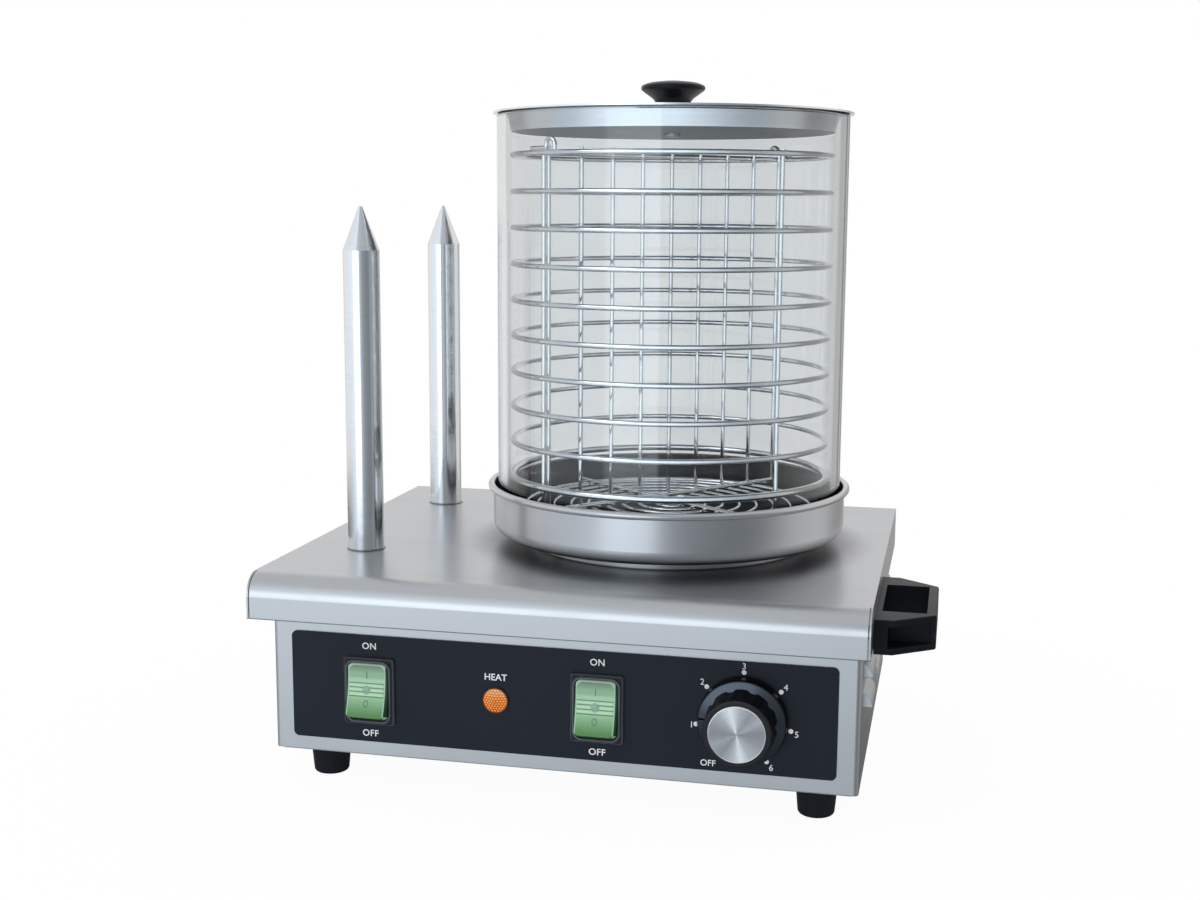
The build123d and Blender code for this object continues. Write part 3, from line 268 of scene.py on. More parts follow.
def steps(factor, stops):
    """Colour ramp from (place, grey or colour) stops."""
    made = add(tree_of(factor), "ShaderNodeValToRGB", {0: factor})
    band = made.color_ramp
    while len(band.elements) < len(stops):
        band.elements.new(0.5)
    for element, (place, value) in zip(band.elements, stops):
        element.position = place
    for element, (place, value) in zip(band.elements, stops):
        shade = (value, value, value) if isinstance(value, (int, float)) else tuple(value)
        element.color = (*shade[:3], 1.0)
    return made.outputs["Color"]


def in_shades(colour, amount):
    """A colour made lighter or darker by a factor."""
    return tuple(min(1.0, channel * amount) for channel in colour)


def shades(factor, colour, first, second):
    """Blends two shades of one colour."""
    return tint(factor, in_shades(colour, first), in_shades(colour, second))


def new_finish(name, colour, roughness, metallic=0.0, specular=0.5):
    """A material with its plain values set; returns it, its tree, its shader and the object coordinates."""
    material = bpy.data.materials.new(name)
    material.use_nodes = True
    tree = material.node_tree
    shader = tree.nodes["Principled BSDF"]
    shader.inputs["Base Color"].default_value = (*colour[:3], 1.0)
    shader.inputs["Roughness"].default_value = roughness
    shader.inputs["Metallic"].default_value = metallic
    shader.inputs["Specular IOR Level"].default_value = specular
    place = add(tree, "ShaderNodeTexCoord").outputs["Object"]
    material.diffuse_color = (*colour[:3], 1.0)
    return material, tree, shader, place


def moved_to(place, centre, turn=(0.0, 0.0, 0.0)):
    """Coordinates counted from a piece's own centre, turned so that its axis is Z."""
    counted = vector_calc("SUBTRACT", place, tuple(centre))
    return add(tree_of(place), "ShaderNodeMapping", {"Vector": counted, "Rotation": turn}).outputs[0]


def rounded_distance(place, centre, half_x, half_z, radius):
    """Distance in X and Z to a rectangle with round corners, below 0 inside it."""
    parts = axes(vector_calc("SUBTRACT", place, tuple(centre))).outputs
    across = minus(calc("ABSOLUTE", parts[0]), half_x - radius)
    up = minus(calc("ABSOLUTE", parts[2]), half_z - radius)
    corner = add(tree_of(place), "ShaderNodeCombineXYZ",
                 {0: calc("MAXIMUM", across, 0.0), 2: calc("MAXIMUM", up, 0.0)}).outputs[0]
    beyond = vector_calc("LENGTH", corner, output=1)
    within = calc("MINIMUM", calc("MAXIMUM", across, up), 0.0)
    return minus(plus(beyond, within), radius)


def bumped(shader, height, strength, distance, normal=None):
    """Joins a height to the shader's normal."""
    made = add(shader.id_data, "ShaderNodeBump", {"Height": height, "Strength": strength, "Distance": distance})
    if normal is not None:
        feed(made, "Normal", normal)
    feed(shader, "Normal", made.outputs["Normal"])


# ======== Shared effects ========
def new_group(name, inputs, outputs):
    tree = bpy.data.node_groups.new(name, "ShaderNodeTree")
    for label, kind, default in inputs:
        socket = tree.interface.new_socket(label, in_out="INPUT", socket_type=kind)
        socket.default_value = default
    for label, kind in outputs:
        tree.interface.new_socket(label, in_out="OUTPUT", socket_type=kind)
    return tree, tree.nodes.new("NodeGroupInput").outputs, tree.nodes.new("NodeGroupOutput").inputs


def make_brushed_grain():
    """Straight brushing: fine lines and longer, softer streaks. Scale is per axis, low along the lines."""
    tree, given, result = new_group("brushed_grain",
                                    [("Vector", "NodeSocketVector", (0, 0, 0)),
                                     ("Scale", "NodeSocketVector", (20, 2500, 2500))],
                                    [("Lines", "NodeSocketFloat"), ("Streaks", "NodeSocketFloat")])
    stretched = vector_calc("MULTIPLY", given["Vector"], given["Scale"])
    fine = add(tree, "ShaderNodeTexNoise", {"Vector": stretched, "Scale": 1.0, "Detail": 3.0, "Roughness": 0.6})
    wide = vector_calc("MULTIPLY", stretched, (0.35, 0.12, 0.12))
    soft = add(tree, "ShaderNodeTexNoise", {"Vector": wide, "Scale": 1.0, "Detail": 2.0, "Roughness": 0.5})
    tree.links.new(spread(fine.outputs[0], 0.3, 0.7), result["Lines"])
    tree.links.new(spread(soft.outputs[0], 0.3, 0.7), result["Streaks"])
    return tree


def make_turned_grain():
    """Rings left by spinning or polishing a round piece about Z."""
    tree, given, result = new_group("turned_grain", [("Vector", "NodeSocketVector", (0, 0, 0)),
                                                     ("Fineness", "NodeSocketFloat", 2500.0)],
                                    [("Lines", "NodeSocketFloat"), ("Bands", "NodeSocketFloat")])
    parts = axes(given["Vector"]).outputs
    flat = add(tree, "ShaderNodeCombineXYZ", {0: parts[0], 1: parts[1]}).outputs[0]
    radius = vector_calc("LENGTH", flat, output=1)
    sweep = add(tree, "ShaderNodeCombineXYZ", {0: times(radius, given["Fineness"]),
                                               1: times(parts[2], given["Fineness"]),
                                               2: times(calc("ARCTAN2", parts[1], parts[0]), 1.3)}).outputs[0]
    fine = add(tree, "ShaderNodeTexNoise", {"Vector": sweep, "Scale": 1.0, "Detail": 2.0, "Roughness": 0.6})
    broad = vector_calc("MULTIPLY", sweep, (0.08, 0.08, 0.4))
    soft = add(tree, "ShaderNodeTexNoise", {"Vector": broad, "Scale": 1.0, "Detail": 2.0})
    tree.links.new(spread(fine.outputs[0], 0.3, 0.7), result["Lines"])
    tree.links.new(spread(soft.outputs[0], 0.3, 0.7), result["Bands"])
    return tree


def make_handling_marks():
    """Faint clouds and a few wiping marks from use and cleaning."""
    tree, given, result = new_group("handling_marks",
                                    [("Vector", "NodeSocketVector", (0, 0, 0)),
                                     ("Scale", "NodeSocketFloat", 14.0)],
                                    [("Clouds", "NodeSocketFloat"), ("Wipes", "NodeSocketFloat")])
    clouds = add(tree, "ShaderNodeTexNoise", {"Vector": given["Vector"], "Scale": given["Scale"], "Detail": 4.0,
                                              "Roughness": 0.55, "Distortion": 0.6})
    slanted = add(tree, "ShaderNodeMapping", {"Vector": given["Vector"], "Rotation": (0.4, 0.3, 0.7),
                                              "Scale": (1.0, 5.0, 3.0)}).outputs[0]
    wipes = add(tree, "ShaderNodeTexNoise", {"Vector": slanted, "Scale": given["Scale"], "Detail": 2.0,
                                             "Distortion": 1.2})
    tree.links.new(spread(clouds.outputs[0], 0.3, 0.72), result["Clouds"])
    tree.links.new(spread(wipes.outputs[0], 0.52, 0.72, smooth=True), result["Wipes"])
    return tree


def make_rounded_edges():
    """Softens sharp edges in the shading and finds where they are."""
    tree, given, result = new_group("rounded_edges", [("Radius", "NodeSocketFloat", 0.0006)],
                                    [("Normal", "NodeSocketVector"), ("Edge", "NodeSocketFloat")])
    rounded = add(tree, "ShaderNodeBevel", {"Radius": given["Radius"]}, samples=4).outputs[0]
    true = add(tree, "ShaderNodeNewGeometry").outputs["Normal"]
    meeting = vector_calc("DOT_PRODUCT", rounded, true, output=1)
    tree.links.new(rounded, result["Normal"])
    tree.links.new(spread(meeting, 0.99, 0.85, smooth=True), result["Edge"])
    return tree


def make_moulded_skin():
    """Fine spark-eroded skin of moulded plastic and rubber."""
    tree, given, result = new_group("moulded_skin", [("Vector", "NodeSocketVector", (0, 0, 0)),
                                                     ("Fineness", "NodeSocketFloat", 2200.0)],
                                    [("Skin", "NodeSocketFloat"), ("Patches", "NodeSocketFloat")])
    cells = add(tree, "ShaderNodeTexVoronoi", {"Vector": given["Vector"], "Scale": given["Fineness"],
                                               "Randomness": 1.0}, feature="SMOOTH_F1")
    grain = add(tree, "ShaderNodeTexNoise", {"Vector": given["Vector"], "Scale": given["Fineness"],
                                             "Detail": 2.0})
    mixed = calc("MULTIPLY_ADD", grain.outputs[0], 0.5, times(cells.outputs[0], 0.6))
    slow = add(tree, "ShaderNodeTexNoise", {"Vector": given["Vector"], "Scale": 22.0, "Detail": 3.0})
    tree.links.new(mixed, result["Skin"])
    tree.links.new(spread(slow.outputs[0], 0.3, 0.7), result["Patches"])
    return tree


def make_honeycomb():
    """Six-sided cells in the X-Z plane: a dome in each and a line between them."""
    tree, given, result = new_group("honeycomb", [("Vector", "NodeSocketVector", (0, 0, 0)),
                                                  ("Pitch", "NodeSocketFloat", 0.001)],
                                    [("Dome", "NodeSocketFloat"), ("Line", "NodeSocketFloat")])
    parts = axes(given["Vector"]).outputs
    across = calc("DIVIDE", parts[0], given["Pitch"])
    up = calc("DIVIDE", parts[2], given["Pitch"])
    root = 3 ** 0.5
    found = []
    for shift in (0.0, 0.5):
        a = minus(calc("FLOORED_MODULO", plus(across, shift), 1.0), 0.5)
        b = minus(calc("FLOORED_MODULO", plus(up, shift * root), root), root / 2)
        a = calc("ABSOLUTE", a)
        b = calc("ABSOLUTE", b)
        slant = plus(times(a, 0.5), times(b, root / 2))
        found.append(calc("MAXIMUM", a, slant))
    nearest = calc("MINIMUM", *found)
    tree.links.new(spread(nearest, 0.5, 0.0, smooth=True), result["Dome"])
    tree.links.new(spread(nearest, 0.36, 0.48, smooth=True), result["Line"])
    return tree


MAKERS = {"brushed_grain": make_brushed_grain, "turned_grain": make_turned_grain,
          "handling_marks": make_handling_marks, "rounded_edges": make_rounded_edges,
          "moulded_skin": make_moulded_skin, "honeycomb": make_honeycomb,}


def effect(tree, name, **sockets):
    """Places a shared effect, which is made the first time it is asked for."""
    group = bpy.data.node_groups.get(name) or MAKERS[name]()
    return add(tree, "ShaderNodeGroup", {key.replace("_", " "): value for key, value in sockets.items()},
               node_tree=group).outputs


# ======== Mesh helpers ========
def dress(material, *names):
    """Gives CAD nodes a material."""
    for name in names:
        for slot in NODES[name].material_slots:
            slot.material = material
        if not NODES[name].material_slots:
            NODES[name].data.materials.append(material)


def finish_mesh(work, name, material, body, smooth_angle=radians(35)):
    """Turns a bmesh into a piece that rides on a body."""
    bmesh.ops.remove_doubles(work, verts=work.verts, dist=1e-6)
    bmesh.ops.recalc_face_normals(work, faces=work.faces)
    mesh = bpy.data.meshes.new(name)
    work.to_mesh(mesh)
    work.free()
    mesh.shade_smooth()
    mesh.set_sharp_from_angle(angle=smooth_angle)
    piece = bpy.data.objects.new(name, mesh)
    bpy.context.scene.collection.objects.link(piece)
    mesh.materials.append(material)
    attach(piece, body)
    return piece


def on_panel(x, z, y=PANEL_FACE):
    """Placement on the panel, for shapes drawn flat and seen from the front."""
    return Matrix.Translation((x, y, z)) @ Matrix.Rotation(radians(90), 4, "X")


def add_words(work, words, height, thickness, place, weight=0.0, spacing=1.0):
    """Adds flat words to a bmesh, as solid plates standing on the face they are placed on."""
    curve = bpy.data.curves.new("words", "FONT")
    curve.body = words
    curve.size = height / CAPITAL_SHARE
    curve.align_x = "CENTER"
    curve.space_character = spacing
    curve.offset = weight * height
    curve.extrude = thickness / 2
    curve.resolution_u = 4
    carrier = bpy.data.objects.new("words", curve)
    bpy.context.scene.collection.objects.link(carrier)
    bpy.context.view_layer.update()
    mesh = bpy.data.meshes.new_from_object(carrier.evaluated_get(bpy.context.evaluated_depsgraph_get()))
    bpy.data.objects.remove(carrier)
    bpy.data.curves.remove(curve)
    mesh.transform(place @ Matrix.Translation((0, -height / 2, thickness / 2)))
    work.from_mesh(mesh)
    bpy.data.meshes.remove(mesh)


def add_disc(work, radius, thickness, place, segments=24):
    """Adds a thin round plate standing on the face it is placed on."""
    made = bmesh.ops.create_circle(work, cap_ends=True, radius=radius, segments=segments, matrix=place)
    face = made["verts"][0].link_faces[0]
    bmesh.ops.extrude_face_region(work, geom=[face])
    lifted = (place.to_3x3() @ Vector((0, 0, 1))) * thickness
    bmesh.ops.translate(work, verts=made["verts"], vec=lifted)


def front_of(node):
    """Gives the Y of a node's front face at an X and a Z."""
    mesh = NODES[node].data
    tree = BVHTree.FromPolygons([point.co for point in mesh.vertices],
                                [face.vertices[:] for face in mesh.polygons])
    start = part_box(node)[0].y - 0.05

    def height(x, z):
        hit = tree.ray_cast(Vector((x, start, z)), Vector((0, 1, 0)))[0]
        return hit.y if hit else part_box(node)[0].y
    return height


def lay_on(verts, height, x, z, out=0.0):
    """Moves points drawn round the origin in X and Z, with Y as their depth, onto a front face."""
    for vert in verts:
        vert.co.x += x
        vert.co.z += z
        vert.co.y += height(vert.co.x, vert.co.z) - out


def join(work, other):
    """Adds a second bmesh to the first and frees it."""
    mesh = bpy.data.meshes.new("joined")
    other.to_mesh(mesh)
    other.free()
    work.from_mesh(mesh)
    bpy.data.meshes.remove(mesh)


def add_bar(work, length, width, depth, pieces, height, x, z):
    """Adds a bar along X with bevelled front edges, cut into pieces so that it follows a front face."""
    bar = bmesh.new()
    bmesh.ops.create_cube(bar, size=1.0, matrix=Matrix.Diagonal((length, depth, width, 1.0)))
    front = [edge for edge in bar.edges
             if edge.calc_length() > 0.9 * length and all(vert.co.y < 0 for vert in edge.verts)]
    bmesh.ops.bevel(bar, geom=front, offset=0.4 * min(width, depth), offset_type="OFFSET", segments=2,
                    profile=0.5, affect="EDGES", material=-1)
    along = [edge for edge in bar.edges if edge.calc_length() > 0.9 * length]
    bmesh.ops.subdivide_edges(bar, edges=along, cuts=pieces - 1, use_grid_fill=True)
    lay_on(bar.verts, height, x, z)
    join(work, bar)


# ======== Sheet metal ========
def brushed_sheet(name, colour, metal, scale, blur_along, edge_radius=0.0005, shaded=None):
    """Brushed sheet. scale stretches the brushing, blur_along is the direction across it, and shaded may paint
    shade onto the colour in places."""
    material, tree, shader, place = new_finish(name, colour, metal.sheet_roughness, 1.0)
    grain = effect(tree, "brushed_grain", Vector=place, Scale=scale)
    marks = effect(tree, "handling_marks", Vector=place, Scale=9.0)
    edges = effect(tree, "rounded_edges", Radius=edge_radius)
    lines = shades(grain["Lines"], colour, 0.98, 1.015)
    clouded = tint(times(marks["Clouds"], 0.25), lines, in_shades(colour, 0.95))
    if shaded:
        clouded = shaded(place, clouded)
    feed(shader, "Base Color", clouded)
    rough = calc("MULTIPLY_ADD", grain["Streaks"], 0.018, metal.sheet_roughness - 0.012)
    rough = calc("MULTIPLY_ADD", marks["Wipes"], 0.03, rough)
    feed(shader, "Roughness", rough)
    shader.inputs["Anisotropic"].default_value = 0.55
    feed(shader, "Tangent", add(tree, "ShaderNodeCombineXYZ", dict(enumerate(blur_along))).outputs[0])
    bumped(shader, grain["Lines"], metal.sheet_grain, 0.00002, edges["Normal"])
    return material


class STEAMER_OT_sheet_metal(bpy.types.Operator):
    """Brushed steel for the lid, the housing, its base and its rear panel"""
    bl_idname = "steamer.sheet_metal"
    bl_label = "Sheet metal"

    def execute(self, context):
        metal = context.scene.steamer_metal
        lid = brushed_sheet("lid_steel", metal.sheet_colour, metal, (14, 1500, 1500), (0.0, 0.15, 1.0),
                            shaded=self.lid_shades)
        housing = brushed_sheet("housing_steel", metal.sheet_colour, metal, (14, 1500, 1500), (0.0, 0.15, 1.0))
        dress(lid, "top_plate", "pan_seat")
        dress(housing, "housing_shell", "rear_panel", "base_plate")
        return {"FINISHED"}

    def lid_shades(self, place, colour):
        """Paints shade on the lid: a painted shade and reflection of the pan's dark underside around the pan,
        and a painted shadow line along the lid's lower edge.
        """
        low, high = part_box("top_plate")
        metal = bpy.context.scene.steamer_metal
        flat = vector_calc("MULTIPLY", vector_calc("SUBTRACT", place, tuple(TOWER)), (1.0, 1.0, 0.0))
        away = vector_calc("LENGTH", flat, output=1)
        height = axes(place).outputs[2]
        # Painted shade and reflection of the pan's dark underside, on the lid's top near the pan.
        under_pan_shade = times(spread(away, metal.heat_reach, metal.heat_reach - 0.030, smooth=True),
                        calc("COMPARE", height, high.z, 0.0008))
        colour = tint(under_pan_shade, colour, vector_calc("MULTIPLY", colour, (0.30, 0.30, 0.31)))
        # Painted shadow line along the lid's lower edge, where the gap under the lid lies in shade.
        line = minus(height, low.z)
        return tint(spread(line, metal.edge_line, metal.edge_line / 2, smooth=True), colour,
                    vector_calc("MULTIPLY", colour, (0.42, 0.43, 0.45)))


class STEAMER_OT_fasteners(bpy.types.Operator):
    """Plated finish for screws, nuts and other small turned parts"""
    bl_idname = "steamer.fasteners"
    bl_label = "Fasteners"

    def execute(self, context):
        metal = context.scene.steamer_metal
        plated, tree, shader, place = new_finish("plated_steel", metal.screw_colour, 0.32, 1.0)
        grain = effect(tree, "turned_grain", Vector=place, Fineness=1800.0)
        marks = effect(tree, "handling_marks", Vector=place, Scale=60.0)
        edges = effect(tree, "rounded_edges", Radius=0.0003)
        feed(shader, "Base Color", shades(marks["Clouds"], metal.screw_colour, 0.85, 1.1))
        bumped(shader, grain["Lines"], 0.1, 0.00002, edges["Normal"])
        dress(plated, "rear_panel_screws", "foot_screws", "foot_nuts", "handle_screws", "thermostat_screws",
              "cover_knob_screw", "heater_nut", "heater_clamp", "spike_nuts", "thermostat_shaft")
        return {"FINISHED"}


# ======== Pan, heater and inner parts ========
class STEAMER_OT_water_pan(bpy.types.Operator):
    """Satin pan with a bright rolled rim, its inside painted near black as painted shade"""
    bl_idname = "steamer.water_pan"
    bl_label = "Water pan"

    def execute(self, context):
        metal = context.scene.steamer_metal
        low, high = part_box("water_pan")
        centre = Vector((TOWER.x, TOWER.y, low.z))
        material, tree, shader, place = new_finish("pan_steel", metal.pan_colour, metal.pan_roughness, 1.0,
                                                   specular=0.08)
        local = moved_to(place, centre)
        grain = effect(tree, "turned_grain", Vector=local, Fineness=1500.0)
        marks = effect(tree, "handling_marks", Vector=place, Scale=12.0)
        parts = axes(local).outputs
        flat = add(tree, "ShaderNodeCombineXYZ", {0: parts[0], 1: parts[1]}).outputs[0]
        radius = vector_calc("LENGTH", flat, output=1)
        inner = (high.x - low.x) / 2 - 0.0041
        inwards = vector_calc("SUBTRACT", (0.0, 0.0, 1.0), vector_calc("NORMALIZE", flat))
        true = add(tree, "ShaderNodeNewGeometry").outputs["True Normal"]
        inside = times(spread(radius, inner + 0.0006, inner + 0.0004),
                       calc("GREATER_THAN", vector_calc("DOT_PRODUCT", true, inwards, output=1), 0.0))
        outside = shades(grain["Lines"], metal.pan_colour, 0.985, 1.01)
        # Painted shade: the pan's inside is painted near black, with faint turned bands.
        painted_dark_inside = shades(grain["Bands"], metal.pan_inside, 0.7, 1.5)
        feed(shader, "Base Color", tint(inside, outside, painted_dark_inside))
        rough = calc("MULTIPLY_ADD", grain["Bands"], 0.02, metal.pan_roughness - 0.02)
        rough = calc("MULTIPLY_ADD", marks["Wipes"], 0.03, rough)
        rough = calc("MULTIPLY_ADD", inside, 0.14, rough)
        feed(shader, "Roughness", rough)
        feed(shader, "Metallic", minus(1.0, inside))
        shader.inputs["Anisotropic"].default_value = 0.5
        outwards = vector_calc("SCALE", flat)
        outwards.node.inputs["Scale"].default_value = 4.0
        feed(shader, "Tangent", vector_calc("ADD", outwards, (0.0, 0.0, 1.0)))
        bumped(shader, grain["Lines"], 0.06, 0.00002)
        dress(material, "water_pan")
        return {"FINISHED"}


class STEAMER_OT_inner_parts(bpy.types.Operator):
    """Heaters, sensor, thermostat, terminal block and contact tabs under the lid"""
    bl_idname = "steamer.inner_parts"
    bl_label = "Inner parts"

    def execute(self, context):
        metal = context.scene.steamer_metal
        moulding = context.scene.steamer_mouldings
        cast, tree, shader, place = new_finish("cast_aluminium", metal.cast_colour, 0.5, 1.0)
        skin = effect(tree, "moulded_skin", Vector=place, Fineness=900.0)
        feed(shader, "Base Color", shades(skin["Patches"], metal.cast_colour, 0.8, 1.1))
        bumped(shader, skin["Skin"], 0.4, 0.0002)
        dress(cast, "heater_plate")

        tube, tree, shader, place = new_finish("element_tube", metal.element_colour, 0.45, 0.8)
        marks = effect(tree, "handling_marks", Vector=place, Scale=45.0)
        burnt = steps(marks["Clouds"], [(0.0, in_shades(metal.element_colour, 0.6)),
                                        (0.6, metal.element_colour), (1.0, (0.24, 0.17, 0.12))])
        feed(shader, "Base Color", burnt)
        feed(shader, "Roughness", spread(marks["Wipes"], 0.0, 1.0, 0.38, 0.55))
        dress(tube, "heating_element", "spike_heater_front", "spike_heater_rear")

        brass, tree, shader, place = new_finish("brass", metal.brass_colour, 0.3, 1.0)
        marks = effect(tree, "handling_marks", Vector=place, Scale=70.0)
        feed(shader, "Base Color", shades(marks["Clouds"], metal.brass_colour, 1.0, 0.7))
        dress(brass, "sensor_bulb", "capillary_tube", "switch_tabs")

        block, tree, shader, place = new_finish("light_moulding", moulding.block_colour, 0.5)
        skin = effect(tree, "moulded_skin", Vector=place, Fineness=1500.0)
        edges = effect(tree, "rounded_edges", Radius=0.0006)
        feed(shader, "Base Color", shades(skin["Patches"], moulding.block_colour, 0.9, 1.0))
        bumped(shader, skin["Skin"], 0.15, 0.0001, edges["Normal"])
        dress(block, "thermostat_body", "terminal_block")
        return {"FINISHED"}


# ======== Glass, basket and cover ========
class STEAMER_OT_glass(bpy.types.Operator):
    """Clear drawn glass for the cylinder"""
    bl_idname = "steamer.glass"
    bl_label = "Glass cylinder"

    def execute(self, context):
        glass = context.scene.steamer_glass
        material, tree, shader, place = new_finish("clear_glass", glass.glass_colour, 0.0)
        shader.inputs["Transmission Weight"].default_value = 1.0
        shader.inputs["IOR"].default_value = 1.47
        shader.inputs["Specular IOR Level"].default_value = 0.42
        slow = add(tree, "ShaderNodeMapping", {"Vector": place, "Scale": (1.0, 1.0, 0.15)}).outputs[0]
        waves = add(tree, "ShaderNodeTexNoise", {"Vector": slow, "Scale": 18.0, "Detail": 1.0})
        bumped(shader, waves.outputs[0], glass.waviness, 0.002)
        marks = effect(tree, "handling_marks", Vector=place, Scale=20.0)
        feed(shader, "Roughness", spread(marks["Wipes"], 0.0, 1.0, 0.0, 0.012))
        dress(material, "glass_cylinder")
        return {"FINISHED"}


class STEAMER_OT_basket(bpy.types.Operator):
    """Bright wire for the basket"""
    bl_idname = "steamer.basket"
    bl_label = "Wire basket"

    def execute(self, context):
        metal = context.scene.steamer_metal
        wire, tree, shader, place = new_finish("bright_wire", metal.wire_colour, metal.wire_roughness, 1.0)
        marks = effect(tree, "handling_marks", Vector=place, Scale=55.0)
        feed(shader, "Base Color", shades(marks["Clouds"], metal.wire_colour, 1.0, 0.88))
        feed(shader, "Roughness", spread(marks["Wipes"], 0.0, 1.0, metal.wire_roughness - 0.03,
                                         metal.wire_roughness + 0.06))
        drawn = add(tree, "ShaderNodeTexNoise", {"Vector": place, "Scale": 1400.0, "Detail": 1.0})
        bumped(shader, drawn.outputs[0], 0.04, 0.00005)
        dress(wire, "basket_rings", "basket_base_ring", "basket_uprights", "divider_wires", "divider_top_rail",
              "floor_bar_upper", "floor_bar_lower", "floor_spiral", "floor_ring", "lifting_lugs")
        return {"FINISHED"}


class STEAMER_OT_cover(bpy.types.Operator):
    """Pressed steel cover with its black turned knob"""
    bl_idname = "steamer.cover"
    bl_label = "Cover"

    def execute(self, context):
        metal = context.scene.steamer_metal
        moulding = context.scene.steamer_mouldings
        centre = middle("cover")
        material, tree, shader, place = new_finish("cover_steel", metal.cover_colour, 0.32, 1.0)
        local = moved_to(place, centre)
        grain = effect(tree, "turned_grain", Vector=local, Fineness=1400.0)
        marks = effect(tree, "handling_marks", Vector=place, Scale=11.0)
        spun = shades(grain["Lines"], metal.cover_colour, 0.95, 1.03)
        facing = axes(add(tree, "ShaderNodeNewGeometry").outputs["True Normal"])
        flat = vector_calc("LENGTH", vector_calc("MULTIPLY", local, (1.0, 1.0, 0.0)), output=1)
        # Painted shade: where the cover faces down, it is painted darker.
        under = times(spread(facing.outputs[2], -0.55, -0.9, smooth=True),
                      calc("LESS_THAN", flat, metal.cover_dish_radius))
        painted_shade = shades(marks["Clouds"], metal.cover_colour, 0.44, 0.54)
        feed(shader, "Base Color", tint(under, spun, painted_shade))
        rough = calc("MULTIPLY_ADD", marks["Clouds"], 0.06, 0.22)
        feed(shader, "Roughness", calc("MULTIPLY_ADD", under, 0.38, rough))
        bumped(shader, grain["Lines"], 0.15, 0.00002)
        dress(material, "cover")
        knob, tree, shader, place = new_finish("cover_knob_black", moulding.cover_knob_colour, 0.24,
                                               specular=0.22)
        skin = effect(tree, "moulded_skin", Vector=place, Fineness=1600.0)
        feed(shader, "Base Color", shades(skin["Patches"], moulding.cover_knob_colour, 0.8, 1.3))
        feed(shader, "Roughness", calc("MULTIPLY_ADD", skin["Patches"], 0.08, 0.24))
        bumped(shader, skin["Skin"], 0.05, 0.00005)
        dress(knob, "cover_knob")
        return {"FINISHED"}


class STEAMER_OT_spikes(bpy.types.Operator):
    """Polished bun spikes"""
    bl_idname = "steamer.spikes"
    bl_label = "Bun spikes"

    def execute(self, context):
        metal = context.scene.steamer_metal
        for end in ("front", "rear"):
            low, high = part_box(f"bun_spike_{end}")
            centre = Vector(((low.x + high.x) / 2, (low.y + high.y) / 2, high.z))
            material, tree, shader, place = new_finish(f"spike_metal_{end}", metal.spike_colour,
                                                       metal.spike_roughness, 1.0)
            local = moved_to(place, centre)
            grain = effect(tree, "turned_grain", Vector=local, Fineness=2200.0)
            marks = effect(tree, "handling_marks", Vector=place, Scale=30.0)
            height = axes(place).outputs[2]
            foot = spread(height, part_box(f"spike_collar_{end}")[1].z + 0.0002,
                          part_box(f"spike_collar_{end}")[1].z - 0.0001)
            turned = shades(grain["Lines"], metal.spike_colour, 0.96, 1.03)
            feed(shader, "Base Color", tint(foot, turned, in_shades(metal.spike_colour, 0.28)))
            rough = calc("MULTIPLY_ADD", grain["Bands"], 0.05, metal.spike_roughness - 0.02)
            rough = calc("MULTIPLY_ADD", marks["Wipes"], 0.06, rough)
            feed(shader, "Roughness", rough)
            bumped(shader, grain["Lines"], 0.08, 0.00002)
            dress(material, f"bun_spike_{end}", f"spike_collar_{end}")
        return {"FINISHED"}


# ======== Control panel ========
class STEAMER_OT_panel(bpy.types.Operator):
    """Dark satin control panel with its white print"""
    bl_idname = "steamer.control_panel"
    bl_label = "Control panel"

    def execute(self, context):
        controls = context.scene.steamer_controls
        panel, tree, shader, place = new_finish("panel_black", controls.panel_colour, 0.42, specular=0.3)
        skin = effect(tree, "moulded_skin", Vector=place, Fineness=1700.0)
        edges = effect(tree, "rounded_edges", Radius=0.0003)
        feed(shader, "Base Color", shades(skin["Patches"], controls.panel_colour, 0.92, 1.1))
        feed(shader, "Roughness", calc("MULTIPLY_ADD", skin["Patches"], 0.06, 0.39))
        bumped(shader, skin["Skin"], 0.06, 0.00005, edges["Normal"])
        dress(panel, "control_panel")

        ink, tree, shader, place = new_finish("white_print", controls.print_colour, 0.45)
        wear_and_highlight = add(tree, "ShaderNodeTexNoise", {"Vector": place, "Scale": 900.0, "Detail": 3.0})
        feed(shader, "Roughness", spread(wear_and_highlight.outputs[0], 0.35, 0.6, 0.4, 0.5))
        feed(shader, "Base Color", shades(spread(wear_and_highlight.outputs[0], 0.62, 0.8), controls.print_colour, 1.0, 0.8))
        work = bmesh.new()
        thickness = controls.print_thickness
        for switch in SWITCHES.values():
            for words, rise in (("ON", ON_RISE), ("OFF", OFF_RISE)):
                add_words(work, words, controls.word_height, thickness, on_panel(switch.x, CONTROL_LINE + rise),
                          weight=0.018, spacing=1.06)
        add_words(work, "HEAT", controls.word_height, thickness, on_panel(LAMP.x, CONTROL_LINE + HEAT_RISE),
                  weight=0.018)
        for number in range(1, 7):
            turn = radians(FIRST_DOT_TURN + DOT_STEP * (number - 1))
            across = KNOB.x + sin(turn) * controls.dot_circle
            up = CONTROL_LINE + cos(turn) * controls.dot_circle
            add_disc(work, controls.dot_radius, thickness, on_panel(across, up))
            step = controls.figure_steps[2 * number - 2:2 * number]
            add_words(work, str(number), controls.number_height, thickness,
                      on_panel(across + step[0], up + step[1]), weight=0.004)
        turn = radians(OFF_TURN)
        add_words(work, "OFF", controls.number_height, thickness,
                  on_panel(KNOB.x + sin(turn) * OFF_CIRCLE, CONTROL_LINE + cos(turn) * OFF_CIRCLE), weight=0.012)
        finish_mesh(work, "panel_print", ink, "base")
        return {"FINISHED"}


